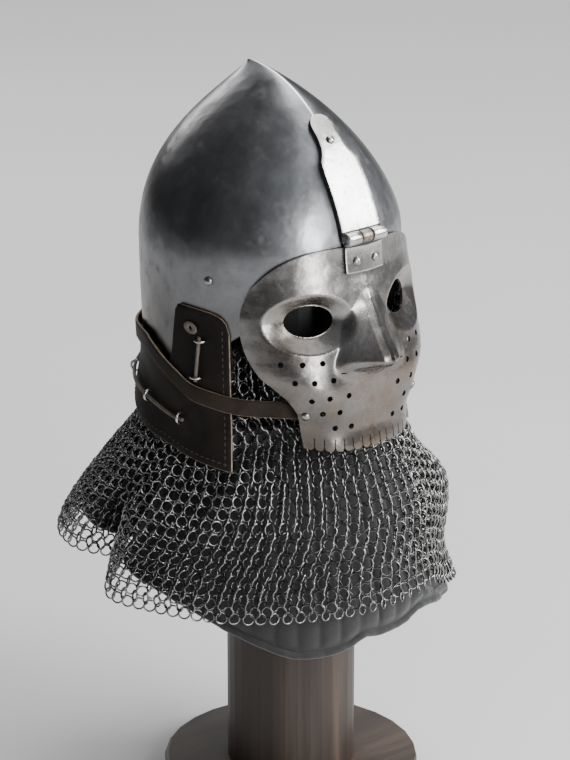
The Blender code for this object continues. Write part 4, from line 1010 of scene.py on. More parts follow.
# Materials
class Nodes:
    """A small way of wiring a material's nodes."""

    def __init__(self, name):
        self.mat = bpy.data.materials.new(name)
        self.mat.use_nodes = True
        self.tree = self.mat.node_tree
        self.shader = self.tree.nodes["Principled BSDF"]
        self.place = self.tree.nodes.new("ShaderNodeTexCoord").outputs["Object"]

    def add(self, kind, **inputs):
        node = self.tree.nodes.new(kind)
        for key, value in inputs.items():
            self.put(node.inputs[key.replace("_", " ")], value)
        return node

    def put(self, socket, value):
        if isinstance(value, bpy.types.NodeSocket):
            self.tree.links.new(value, socket)
        else:
            socket.default_value = value

    def noise(self, scale, detail=3.0, roughness=0.5, vector=None):
        node = self.add("ShaderNodeTexNoise", Scale=scale, Detail=detail, Roughness=roughness)
        self.put(node.inputs["Vector"], vector if vector is not None else self.place)
        return node.outputs["Fac"]

    def stretched(self, x, y, z):
        node = self.add("ShaderNodeMapping", Scale=(x, y, z))
        self.put(node.inputs["Vector"], self.place)
        return node.outputs["Vector"]

    def ramp(self, fac, *stops):
        node = self.add("ShaderNodeValToRGB")
        self.put(node.inputs["Fac"], fac)
        ramp = node.color_ramp
        while len(ramp.elements) < len(stops):
            ramp.elements.new(0.5)
        for element, (place, colour) in zip(ramp.elements, stops):
            element.position = place
            value = colour if hasattr(colour, "__len__") else (colour, colour, colour)
            element.color = (*value, 1)
        return node.outputs["Color"]

    def mix(self, fac, a, b):
        node = self.tree.nodes.new("ShaderNodeMix")
        node.data_type = "RGBA"
        self.put(node.inputs["Factor"], fac)
        self.put(node.inputs["A"], a)
        self.put(node.inputs["B"], b)
        return node.outputs["Result"]

    def math(self, kind, a, b=0.0):
        node = self.tree.nodes.new("ShaderNodeMath")
        node.operation = kind
        self.put(node.inputs[0], a)
        self.put(node.inputs[1], b)
        return node.outputs["Value"]

    def times(self, a, b):
        return self.math("MULTIPLY", a, b)

    def plus(self, a, b):
        return self.math("ADD", a, b)

    def height(self):
        place = self.tree.nodes.new("ShaderNodeSeparateXYZ")
        self.put(place.inputs[0], self.place)
        return place.outputs["Z"]

    def bump(self, height, distance, strength=1.0, normal=None):
        node = self.add("ShaderNodeBump", Height=height, Distance=distance, Strength=strength)
        if normal is not None:
            self.put(node.inputs["Normal"], normal)
        return node.outputs["Normal"]

    def finish(self, **inputs):
        for key, value in inputs.items():
            self.put(self.shader.inputs[key.replace("_", " ")], value)
        return self.mat


def steel(name, light, dark, roughness, planish, brown=0.0, scale=1.0, back=0.0, low=0.0,
          crease=False):
    """Worked steel: hammer marks, tarnish and, if asked, painted shade behind or low and a painted
    crease highlight.
    """
    n = Nodes(name)
    place = n.tree.nodes.new("ShaderNodeSeparateXYZ")
    n.put(place.inputs[0], n.place)
    clouds = n.noise(9 * scale, 6.0, 0.62)
    patches = n.noise(31 * scale, 5.0, 0.7, n.stretched(1.0, 1.0, 0.4))
    mottle = n.plus(n.times(clouds, 0.6), n.times(patches, 0.4))
    base = n.mix(n.ramp(mottle, (0.38, 0.0), (0.62, 1.0)), (*dark, 1), (*light, 1))
    spots = n.ramp(n.noise(75 * scale, 6.0, 0.7), (0.53, 0.0), (0.72, 1.0))
    colour = n.mix(n.times(spots, 0.40), base, (0.13, 0.115, 0.10, 1))
    rough = n.plus(n.times(n.plus(spots, patches), 0.16), roughness)
    # Painted shade: darker towards the back (larger Y), as much as the share given by back
    behind = n.times(n.plus(place.outputs["Y"], 0.07), 6.0)
    shade = n.times(n.ramp(behind, (0.0, 0.0), (1.0, 1.0)), back)
    # More painted shade low down, under 0.46 m, as much as the share given by low
    if low:
        below = n.ramp(n.times(n.math("SUBTRACT", 0.46, place.outputs["Z"]), 10.0),
                       (0.0, 0.0), (1.0, 1.0))
        shade = n.plus(shade, n.times(below, low))
    colour = n.mix(shade, colour, (0.050, 0.046, 0.044, 1))
    if brown:
        rust = n.ramp(n.noise(7.5 * scale, 5.0, 0.65), (0.42, 0.0), (0.62, 1.0))
        height = n.ramp(n.math("SUBTRACT", 1.0, n.times(place.outputs["Z"], 1.7)),
                        (0.15, 0.0), (0.36, 1.0))
        amount = n.times(n.times(rust, height), brown)
        colour = n.mix(amount, colour, (0.16, 0.12, 0.09, 1))
    # Painted highlight: a thin pale line along the crease at the front of the bowl
    if crease:
        beside = n.times(n.math("ABSOLUTE", place.outputs["X"]), 400.0)
        ahead = n.math("LESS_THAN", place.outputs["Y"], APEX_SETBACK)
        line = n.times(n.ramp(beside, (0.15, 1.0), (0.45, 0.0)), ahead)
        colour = n.mix(line, colour, (0.85, 0.85, 0.86, 1))
    marks = n.tree.nodes.new("ShaderNodeTexVoronoi")
    marks.feature = "SMOOTH_F1"
    n.put(marks.inputs["Scale"], 60 * scale)
    n.put(marks.inputs["Smoothness"], 1.0)
    n.put(marks.inputs["Vector"], n.place)
    normal = n.bump(marks.outputs["Distance"], planish, 1.0)
    normal = n.bump(n.noise(26 * scale, 3.0), planish * 2.5, 1.0, normal)
    normal = n.bump(n.noise(420, 3.0, 0.7), 0.00005, 0.8, normal)
    return n.finish(Base_Color=colour, Metallic=1.0, Roughness=rough, Normal=normal)


def leather_material(name, colour, worn, scale=1.0):
    """Leather with a fine grain, creases and wear."""
    n = Nodes(name)
    clouds = n.noise(18, 5.0, 0.65)
    base = n.mix(n.ramp(clouds, (0.45, 0.0), (0.75, 1.0)), (*colour, 1), (*worn, 1))
    grain = n.tree.nodes.new("ShaderNodeTexVoronoi")
    n.put(grain.inputs["Scale"], 900 * scale)
    n.put(grain.inputs["Vector"], n.place)
    normal = n.bump(grain.outputs["Distance"], 0.00025, 0.8)
    normal = n.bump(n.noise(60, 4.0, 0.6), 0.0006, 0.8, normal)
    rough = n.plus(n.times(clouds, 0.3), 0.46)
    return n.finish(Base_Color=base, Roughness=rough, Normal=normal, Specular_IOR_Level=0.12)


def wood_material(name, upright):
    """Dark stained wood, grain upright on the post, straight across on the base; painted shade up
    high.
    """
    n = Nodes(name)
    vector = n.stretched(70, 70, 3.0) if upright else n.stretched(6, 70, 40)
    streaks = n.noise(1.0, 5.0, 0.65, vector)
    wide = n.noise(1.0, 3.0, 0.5, n.stretched(14, 14, 1.2) if upright else n.stretched(2, 14, 10))
    colour = n.ramp(streaks, (0.30, (0.018, 0.012, 0.009)), (0.55, (0.050, 0.033, 0.024)),
                    (0.80, (0.100, 0.070, 0.052)))
    colour = n.mix(n.ramp(wide, (0.35, 0.6), (0.65, 0.0)), colour, (0.014, 0.010, 0.008, 1))
    if upright:
        # Painted shade: the post fades to near-black from 0.20 m to 0.26 m up, inside the collar
        # and helmet
        painted_inner_shade = n.ramp(n.height(), (0.20, 0.0), (0.26, 1.0))
        colour = n.mix(painted_inner_shade, colour, (0.004, 0.004, 0.004, 1))
    rough = n.plus(n.times(streaks, 0.25), 0.38)
    normal = n.bump(streaks, 0.0005, 0.7)
    return n.finish(Base_Color=colour, Roughness=rough, Normal=normal)


def cloth_material(name):
    """Black woven cloth."""
    n = Nodes(name)
    clouds = n.noise(25, 4.0)
    base = n.mix(clouds, (0.010, 0.010, 0.011, 1), (0.020, 0.020, 0.021, 1))
    weave = n.noise(1500, 2.0, 0.5)
    normal = n.bump(weave, 0.0003, 0.8)
    normal = n.bump(n.noise(90, 3.0), 0.0010, 0.7, normal)
    return n.finish(Base_Color=base, Roughness=0.85, Normal=normal, Sheen_Weight=0.3)


def ring_material(name):
    """Steel wire of the mail, some rings lighter than others, those high under the helmet in
    painted shade.
    """
    n = Nodes(name)
    clouds = n.noise(160, 2.0, 0.6)
    light = n.ramp(clouds, (0.35, 0.0), (0.70, 1.0))
    base = n.mix(light, (0.09, 0.089, 0.087, 1), (0.36, 0.356, 0.35, 1))
    # Painted shade: rings above 0.412 m, under the helmet, go near-black
    painted_inner_shade = n.ramp(n.times(n.math("SUBTRACT", n.height(), 0.412), 100.0), (0.0, 0.0), (1.0, 1.0))
    base = n.mix(painted_inner_shade, base, (0.006, 0.006, 0.006, 1))
    rough = n.plus(n.times(clouds, 0.20), 0.12)
    return n.finish(Base_Color=base, Metallic=1.0, Roughness=rough)


def plain(name, colour, roughness, metallic=0.0, speck=300.0):
    """A small piece's material: a colour that varies a little."""
    n = Nodes(name)
    clouds = n.noise(speck, 4.0, 0.6)
    dark = tuple(0.55 * value for value in colour)
    base = n.mix(n.ramp(clouds, (0.35, 0.0), (0.65, 1.0)), (*dark, 1), (*colour, 1))
    rough = n.plus(n.times(clouds, 0.2), roughness - 0.1)
    normal = n.bump(clouds, 0.0001, 0.6)
    return n.finish(Base_Color=base, Metallic=metallic, Roughness=rough, Normal=normal)


# The bowl gets painted shade behind and low down and a painted crease highlight; the mask gets
# painted shade low down
SKULL_STEEL = steel("skull_steel", (0.44, 0.45, 0.47), (0.24, 0.245, 0.255), 0.24, 0.00045, 0.5,
                    back=0.7, low=0.35, crease=True)
VISOR_STEEL_LOOK = steel("visor_steel", (0.40, 0.39, 0.38), (0.21, 0.20, 0.19), 0.18, 0.00028,
                         1.0, 1.5, low=0.55)
BRIGHT_STEEL = steel("bright_steel", (0.66, 0.65, 0.64), (0.42, 0.41, 0.40), 0.16, 0.00008,
                     0.0, 3.0)
RIVET_LOOK = plain("rivet_steel", (0.42, 0.41, 0.40), 0.30, 1.0)
# Near-black painted shade for the insides of the bowl and mask and the cut faces of the opening
INSIDE_PAINTED_SHADE = plain("inside_painted_shade", (0.030, 0.028, 0.026), 0.75)
# Near-black painted shade for the hinge leaves' rims and for the strip next to the barrel
LEAF_PAINTED_SHADE = plain("leaf_painted_shade", (0.022, 0.020, 0.018), 0.6)
BROWN_STEEL = plain("brown_steel", (0.30, 0.25, 0.21), 0.40, 1.0)
LEATHER_LOOK = leather_material("leather", (0.010, 0.008, 0.007), (0.026, 0.020, 0.017))
EDGE_LOOK = plain("leather_edge", (0.36, 0.28, 0.21), 0.75)
STRAP_LOOK = leather_material("strap_leather", (0.020, 0.015, 0.012), (0.050, 0.038, 0.029))
LACE_LOOK = plain("lace", (0.17, 0.14, 0.115), 0.65)
STITCH_LOOK = plain("stitch", (0.055, 0.042, 0.034), 0.8)
SEAM_LOOK = plain("seam_thread", (0.075, 0.075, 0.08), 0.8)
RING_STEEL = ring_material("mail_steel")
PADDING = cloth_material("padding")
POST_WOOD = wood_material("post_wood", True)
BASE_WOOD = wood_material("base_wood", False)


# Bowl
def fine_skull():
    """The bowl drawn finely, with its crease kept sharp and its face opening cut."""
    columns = []
    knee = RIM_HEIGHT + SIDE_TAPER[0] * BOWL_HEIGHT
    for turn in whole_turn(SKULL_COLUMNS):
        angle = turn - math.pi
        heights = spread(rim_height(angle), knee, SKULL_LOWER_ROWS + 1)
        for k in range(1, SKULL_UPPER_ROWS + 1):
            share = k / (SKULL_UPPER_ROWS + 1)
            heights.append(knee + (APEX_HEIGHT - knee) * math.sin(share * math.pi / 2))
        columns.append([bowl_outside(angle, z) for z in heights])
    skull = loft_piece("skull_fine", columns, SKULL_STEEL, "skull_steel", "skull",
                       closed=True, apex=Vector((0, APEX_SETBACK, APEX_HEIGHT)))
    side_y = APEX_SETBACK - OPENING_SIDE_SETBACK
    reach = BOWL_FRONT_REACH - OPENING_SIDE_SETBACK
    below = NAPE_RISE + BOWL_HALF_WIDTH
    points = [(side_y, RIM_HEIGHT - below)]
    for forward in spread(0, OPENING_TABLE[-1][0], 60):
        y = side_y - forward * reach
        points.append((y, opening_top(y)))
    points.append((side_y - OPENING_TABLE[-1][0] * reach, RIM_HEIGHT - below))
    cutter = helper("opening", outline_prism("opening", points, 4 * BOWL_HALF_WIDTH))
    cutter.matrix_world = Matrix(((0, 0, 1, 0), (1, 0, 0, 0), (0, 1, 0, 0), (0, 0, 0, 1)))
    # The cut faces of the opening and the bowl's inside get the near-black painted shade
    for mat in (SKULL_STEEL, INSIDE_PAINTED_SHADE):
        cutter.data.materials.append(mat)
    for face in cutter.data.polygons:
        face.material_index = 1
    skull.data.materials.append(INSIDE_PAINTED_SHADE)
    add_shell(skull, STEEL, inside=1)
    add_cut(skull, cutter)
    apply_modifiers(skull)
    remove_helpers(cutter)
    skull.data.set_sharp_from_angle(angle=math.radians(35))


# Visor
def add_round_cutter(bm, matrix, width, height, depth, sides):
    """Add an upright elliptic cutter to a bmesh, along the matrix's Z."""
    scale = Matrix.Diagonal((width / 2, height / 2, 1, 1))
    bmesh.ops.create_cone(
        bm, cap_ends=True, segments=sides, radius1=1, radius2=1, depth=depth, matrix=matrix @ scale)


def fine_slit_outline():
    """Outline of one slit with the round ends of the teeth beside it."""
    half = TOOTH_SLIT_WIDTH / 2
    right = [(half, TOOTH_SLIT_HEIGHT)]
    for bend in spread(0, math.pi / 2, FINE_TOOTH_SIDES + 1):
        across = half + TOOTH_CORNER * (1 - math.cos(bend))
        right.append((across, TOOTH_CORNER * (1 - math.sin(bend))))
    right.append((half + TOOTH_CORNER, -TOOTH_CORNER))
    return right + [(-x, y) for x, y in reversed(right)]


def fine_visor():
    """The mask drawn finely, with its holes and teeth cut."""
    columns = []
    for across in spread(-1, 1, FINE_VISOR_COLUMNS + 1):
        column = []
        for row in spread(0, 1, FINE_VISOR_ROWS + 1):
            angle, z = visor_grid_point(across, row)
            column.append(visor_point(angle, z))
        columns.append(column)
    visor = loft_piece("visor_fine", columns, VISOR_STEEL_LOOK, "visor_steel", "visor")
    bm = bmesh.new()
    depth = 8 * VISOR_STEEL
    for side in (-1, 1):
        eye_angle = math.asin(eye_place(side) / BOWL_HALF_WIDTH)
        eye = visor_point(eye_angle, visor_height(EYE_LEVEL))
        outward = Vector((math.sin(eye_angle), -math.cos(eye_angle), 0))
        add_round_cutter(
            bm, frame_matrix(eye, outward), EYE_HOLE_WIDTH, EYE_HOLE_HEIGHT, 2 * depth, 56)
        for table, width, height, sides in (
                (BREATH_HOLES, BREATH_HOLE_DIAMETER, BREATH_HOLE_DIAMETER, 18),
                (NOSTRILS, NOSTRIL_LENGTH, NOSTRIL_WIDTH, 10)):
            for share, across in table:
                angle = side * across * VISOR_ANGLE
                z = visor_height(share)
                matrix = frame_matrix(visor_point(angle, z), visor_normal(angle, z))
                add_round_cutter(bm, matrix, width, height, depth, sides)
    holes = helper("holes", mesh_from(bm, "holes"))
    slit = outline_prism("slit", fine_slit_outline(), 5 * VISOR_STEEL)
    bm = bmesh.new()
    for i in range(TOOTH_SLITS):
        angle = tooth_angle((i - (TOOTH_SLITS - 1) / 2) * TOOTH_PITCH)
        across = angle / (VISOR_ANGLE * VISOR_ROWS_TABLE[0][1])
        edge = VISOR_ROWS_TABLE[0][2] * abs(across) ** VISOR_ARCH_POWER
        z = visor_height(edge)
        copy = slit.copy()
        outward = visor_normal(angle, z + TOOTH_LEAN_RISE)
        copy.transform(frame_matrix(visor_point(angle, z), outward))
        bm.from_mesh(copy)
        bpy.data.meshes.remove(copy)
    slits = helper("slits", mesh_from(bm, "slits"))
    # The mask's inside gets the near-black painted shade
    visor.data.materials.append(INSIDE_PAINTED_SHADE)
    add_shell(visor, VISOR_STEEL, inside=1)
    add_cut(visor, holes)
    add_cut(visor, slits)
    apply_modifiers(visor)
    remove_helpers(holes, slits)
    visor.data.set_sharp_from_angle(angle=math.radians(32))


# Leather
def fine_leather():
    """The leather band with its cut edges lighter."""
    start = LEATHER_TABLE[0][0]
    count = int((360 - 2 * start) / LEATHER_FINE_STEP)
    columns = []
    for value in spread(start, 360 - start, count + 1):
        angle = math.radians(wrap(value))
        top, bottom = leather_edges(angle)
        heights = spread(bottom, top, LEATHER_FINE_ROWS + 1)
        columns.append([leather_point(angle, z) for z in heights])
    finish_leather("leather_band", columns, LEATHER_LOOK, LEATHER)


def fine_strap():
    """The strap, with its cut edges lighter."""
    start = math.degrees(STRAP_ANGLE)
    columns = []
    for value in spread(start, 360 - start, 181):
        angle = math.radians(wrap(value))
        lifts = spread(-STRAP_WIDTH / 2, STRAP_WIDTH / 2, 5)
        columns.append([strap_point(angle, lift) for lift in lifts])
    finish_leather("visor_strap", columns, STRAP_LOOK, STRAP_THICKNESS)


def finish_leather(node, columns, mat, thickness):
    """A strip of leather with its thickness, its cut edges lighter and rounded."""
    strip = loft_piece(node + "_fine", columns, mat, "leather", node)
    strip.data.materials.append(EDGE_LOOK)
    add_shell(strip, thickness, rim=1)
    round_edges(strip, LEATHER_ROUNDING, 1)
    apply_modifiers(strip)
    strip.data.set_sharp_from_angle(angle=SHARP_ANGLE)


def joined_beads(name, places, size, mat, slot):
    """Stitches as one mesh of small long beads: each has a place, a length axis and a normal."""
    points = []
    faces = []
    for place, along, outward in places:
        along = along.normalized()
        across = outward.cross(along).normalized()
        lift = across.cross(along).normalized()
        if lift.dot(outward) < 0:
            lift = -lift
        start = len(points)
        for share, girth in BEAD_PROFILE:
            middle = place + along * size[0] * share
            for turn in whole_turn(BEAD_SIDES):
                side = across * size[1] / 2 * girth * math.cos(turn)
                points.append(middle + side + lift * size[2] * girth * math.sin(turn))
        for ring in range(len(BEAD_PROFILE) - 1):
            low = start + ring * BEAD_SIDES
            high = low + BEAD_SIDES
            for k in range(BEAD_SIDES):
                m = (k + 1) % BEAD_SIDES
                faces.append((low + k, low + m, high + m, high + k))
        last = len(points) - BEAD_SIDES
        faces.append([start + k for k in reversed(range(BEAD_SIDES))])
        faces.append([last + k for k in range(BEAD_SIDES)])
    mesh = bpy.data.meshes.new(name)
    mesh.from_pydata([tuple(point) for point in points], [], faces)
    mesh.shade_smooth()
    return add_piece(name, mesh, mat, slot)


def leather_stitches():
    """Stitches along the front edges and the lower edge of the leather."""
    places = []
    for side in (-1, 1):
        angle = math.radians(side * STITCH_DEGREES)
        top, bottom = leather_edges(angle)
        count = int((top - bottom - 3 * STITCH_INSET) / STITCH_PITCH)
        for z in spread(bottom + STITCH_INSET, top - 2 * STITCH_INSET, count):
            ahead = leather_point(angle, z + SLOPE_RISE) - leather_point(angle, z)
            places.append((leather_point(angle, z), ahead, leather_normal(angle, z)))
    start = STITCH_DEGREES
    count = int(math.tau * BOWL_HALF_WIDTH * (360 - 2 * start) / 360 / STITCH_PITCH)
    for degrees in spread(start, 360 - start, count):
        angle = math.radians(wrap(degrees))
        z = leather_edges(angle)[1] + STITCH_INSET
        turn = angle + SLOPE_TURN
        ahead = leather_point(turn, leather_edges(turn)[1] + STITCH_INSET) - leather_point(angle, z)
        places.append((leather_point(angle, z), ahead, leather_normal(angle, z)))
    joined_beads("leather_stitches", places, STITCH_SIZE, STITCH_LOOK, "leather")


# Hinge
def knuckle_piece(name, x, length, diameter, mat):
    """One rolled knuckle of the hinge, with rounded ends."""
    columns = []
    axis = barrel_centre()
    radius = diameter / 2
    edge = KNUCKLE_ROUNDING
    profile = [(-length / 2, PIN_DIAMETER / 2), (-length / 2, radius - edge),
               (-length / 2 + edge * 0.3, radius - edge * 0.3), (-length / 2 + edge, radius)]
    profile += [(-along, girth) for along, girth in reversed(profile)]
    for spin in whole_turn(KNUCKLE_SIDES):
        columns.append([
            axis + Vector((x + along, girth * math.cos(spin), girth * math.sin(spin)))
            for along, girth in profile])
    knuckle = loft_piece(name, columns, mat, "bright_steel", closed=True)
    knuckle.data.set_sharp_from_angle(angle=SHARP_ANGLE)


def fine_hinge():
    """Both leaves and the three knuckles of the hinge in their nodes' places."""
    tip = UPPER_LEAF_TIP_WIDTH / 2
    path = crease_path(UPPER_LEAF_LENGTH, CLEARANCE)
    distances = spread(0.001, 0.012, 16) + spread(0.014, UPPER_LEAF_LENGTH - tip, 48)
    for turn in spread(0.12, math.pi / 2, 12):
        distances.append(UPPER_LEAF_LENGTH - tip * (1 - math.sin(turn)))
    columns = []
    for across in spread(-1, 1, 9):
        column = []
        for distance in distances:
            point = along_path(path, distance)
            point.x = across * upper_leaf_half_width(distance)
            column.append(point)
        columns.append(column)
    finish_leaf("hinge_upper_leaf", columns)
    top = barrel_centre().z
    heights = spread(top - LOWER_LEAF_LENGTH, top - 0.010, 14)
    heights += spread(top - 0.009, top - 0.001, 14)
    columns = []
    for across in spread(-1, 1, 17):
        x = across * LOWER_LEAF_WIDTH / 2
        columns.append([
            on_visor_at(x, min(z, VISOR_TOP - HINGE_PLATE / 2), CLEARANCE, z) for z in heights])
    finish_leaf("hinge_lower_leaf", columns)
    outer = (HINGE_WIDTH - MIDDLE_KNUCKLE) / 2 - KNUCKLE_GAP
    place = MIDDLE_KNUCKLE / 2 + KNUCKLE_GAP + outer / 2
    knuckle_piece("hinge_knuckle_right", -place, outer, BARREL_DIAMETER, BRIGHT_STEEL)
    knuckle_piece("hinge_knuckle_left", place, outer, BARREL_DIAMETER, BRIGHT_STEEL)
    middle = MIDDLE_SHARE * BARREL_DIAMETER
    knuckle_piece("hinge_knuckle_middle", 0, MIDDLE_KNUCKLE, middle, BROWN_STEEL)


def finish_leaf(node, columns):
    """Leaf of the hinge: thickness, rounded edges, painted shade on its rim and by the barrel."""
    leaf = loft_piece(node + "_fine", columns, BRIGHT_STEEL, "bright_steel", node)
    leaf.data.materials.append(LEAF_PAINTED_SHADE)
    # The rim faces get the near-black painted shade, as shadow along the leaf's sides
    add_shell(leaf, HINGE_PLATE, 1, rim=1)
    round_edges(leaf, PLATE_ROUNDING, 2)
    apply_modifiers(leaf)
    # Faces close to the barrel get painted shade, as the dark line where leaf and knuckles meet
    axis = barrel_centre()
    for face in leaf.data.polygons:
        away = math.hypot(face.center.y - axis.y, face.center.z - axis.z)
        if away < BARREL_DIAMETER / 2 + LEAF_SHADE_REACH:
            face.material_index = 1
    leaf.data.set_sharp_from_angle(angle=SHARP_ANGLE)


# Rivets and lacing
def rivet_piece(name, node, point, outward):
    """A dome-headed rivet, drawn finer than its node."""
    columns = []
    for spin in whole_turn(RIVET_SIDES):
        column = []
        for turn in RIVET_BENDS:
            bend = math.radians(turn)
            reach = RIVET_DIAMETER / 2 * math.cos(bend)
            height = CLEARANCE + RIVET_HEIGHT * math.sin(bend)
            column.append(Vector((reach * math.cos(spin), reach * math.sin(spin), height)))
        columns.append(column)
    mesh = grid_mesh(name, columns, True, Vector((0, 0, CLEARANCE + RIVET_HEIGHT)))
    mesh.transform(frame_matrix(point, outward))
    return add_piece(name, mesh, RIVET_LOOK, "bright_steel", node)


def fine_rivets():
    """Every rivet in its node's place."""
    tip = UPPER_LEAF_TIP_WIDTH / 2
    path = crease_path(UPPER_LEAF_LENGTH, CLEARANCE + HINGE_PLATE)
    here = along_path(path, UPPER_LEAF_LENGTH - 2 * tip)
    tangent = along_path(path, UPPER_LEAF_LENGTH - tip) - here
    rivet_piece("upper_rivet_fine", "hinge_upper_rivet", here, Vector((1, 0, 0)).cross(tangent))
    low = barrel_centre().z - LOWER_RIVET_DROP
    for side, word in SIDES:
        x = side * LOWER_RIVET_SPACING / 2
        point = on_visor_at(x, low, 1.5 * CLEARANCE + HINGE_PLATE, low)
        outward = visor_normal(math.asin(x / BOWL_HALF_WIDTH), low)
        rivet_piece("lower_rivet_fine_" + word, "hinge_lower_rivet_" + word, point, outward)
        angle = side * STRAP_RIVET_ANGLE
        z = strap_height(angle)
        rivet_piece("strap_rivet_fine_" + word, "strap_rivet_" + word, visor_point(angle, z),
                    visor_normal(angle, z))
        angle = side * SIDE_RIVET_ANGLE
        z = RIM_HEIGHT + SIDE_RIVET_LEVEL * BOWL_HEIGHT
        foot = bowl_outside(angle, z)
        outward = bowl_point(angle, z, STEEL) - foot
        rivet_piece("bowl_rivet_fine_" + word, "bowl_rivet_" + word, foot, outward)


def staple_piece(node, degrees, level, direction):
    """Half ring of wire over the lace, drawn finer than its node."""
    angle = math.radians(degrees)
    outward = leather_normal(angle, over_rim(level))
    foot = leather_point(angle, over_rim(level)) + outward * LACE_STANDOFF
    across = outward.cross(direction).normalized()
    points = []
    for turn in spread(-0.3, math.pi + 0.3, 21):
        reach = STAPLE_RADIUS * math.cos(turn)
        rise = STAPLE_RADIUS * math.sin(turn)
        points.append(foot + across * reach + outward * max(rise, -LACE_STANDOFF))
    tube(node + "_fine", points, STAPLE_WIRE / 2, 10, BRIGHT_STEEL, "bright_steel", node)


def fine_lacing():
    """Laces, their knots and the staples in their nodes' places."""
    first, last = UPPER_LACE_TABLE
    for side, word in SIDES:
        upper = []
        for degrees, level in zip(spread(first[0], last[0], 15), spread(first[1], last[1], 15)):
            upper.append(lace_point(side * degrees, level))
        tube("lace_upper_fine_" + word, upper, LACE_DIAMETER / 2, 10, LACE_LOOK, "lace",
             "lace_upper_" + word)
        for number, (degrees, level) in enumerate(UPPER_STAPLES, 1):
            name = "staple_upper_%s_%d" % (word, number)
            staple_piece(name, side * degrees, level, Vector((0, 0, 1)))
        for number, (degrees, level) in enumerate(LOWER_STAPLES, 1):
            name = "staple_lower_%s_%d" % (word, number)
            ahead = lace_point(side * (degrees + 1), level) - lace_point(side * degrees, level)
            staple_piece(name, side * degrees, level, ahead)
        lace_end_piece(side, word)
    start = LOWER_LACE_TABLE[0][0]
    lower = []
    for degrees in spread(start, 360 - start, 121):
        lower.append(lace_point(degrees, eased(LOWER_LACE_TABLE, abs(wrap(degrees)), 1)))
    tube("lace_lower_fine", lower, LACE_DIAMETER / 2, 10, LACE_LOOK, "lace", "lace_lower")


def lace_end_piece(side, word):
    """Flat round-edged knot with a hole, drawn finer than its node."""
    angle = side * math.radians(LACE_END_PLACE[0])
    z = over_rim(LACE_END_PLACE[1])
    outward = leather_normal(angle, z)
    columns = []
    for spin in whole_turn(KNOT_SIDES):
        column = []
        for turn in spread(0, math.tau, KNOT_RIM_SIDES + 1):
            share = 0.5 + 0.5 * math.cos(turn)
            length = LACE_END_HOLE / 2 + (LACE_END_LENGTH - LACE_END_HOLE) / 2 * share
            width = LACE_END_HOLE / 2 + (LACE_END_WIDTH - LACE_END_HOLE) / 2 * share
            height = LACE_END_HEIGHT / 2 * (1 + math.sin(turn))
            column.append(Vector((length * math.cos(spin), width * math.sin(spin), height)))
        columns.append(column)
    mesh = grid_mesh("lace_end_fine_" + word, columns, True)
    tilt = Matrix.Rotation(side * LACE_END_TILT, 4, "Z")
    mesh.transform(frame_matrix(leather_point(angle, z) + outward * 2 * CLEARANCE, outward) @ tilt)
    add_piece("lace_end_fine_" + word, mesh, LACE_LOOK, "lace", "lace_end_" + word)


# Mail
def ring_template():
    """Points and faces of one round ring in its own plane."""
    middle = (RING_DIAMETER - RING_WIRE) / 2
    points = []
    for spin in whole_turn(RING_SIDES):
        for turn in whole_turn(WIRE_SIDES):
            reach = middle + RING_WIRE / 2 * math.cos(turn)
            rise = RING_WIRE / 2 * math.sin(turn)
            points.append((reach * math.cos(spin), reach * math.sin(spin), rise))
    faces = []
    for i in range(RING_SIDES):
        here = i * WIRE_SIDES
        there = (i + 1) % RING_SIDES * WIRE_SIDES
        for k in range(WIRE_SIDES):
            m = (k + 1) % WIRE_SIDES
            faces.append((here + k, there + k, there + m, here + m))
    return np.array(points), np.array(faces)


def meridian(angle):
    """Points up one line of the curtain, from its hem to its top, and the lengths travelled."""
    top, _, hem = mail_levels(angle)
    heights = spread(hem, top, MERIDIAN_SAMPLES)
    points = np.array([mail_point(angle, z, -RING_INSET) for z in heights])
    steps = np.linalg.norm(np.diff(points, axis=0), axis=1)
    return points, np.concatenate([[0.0], np.cumsum(steps)])


def row_points(lines, travelled):
    """Points of one row of rings on every meridian, closed, and the lengths travelled along it."""
    row = np.array([at_length(points, lengths, travelled) for points, lengths in lines + lines[:1]])
    steps = np.linalg.norm(np.diff(row, axis=0), axis=1)
    return row, np.concatenate([[0.0], np.cumsum(steps)])


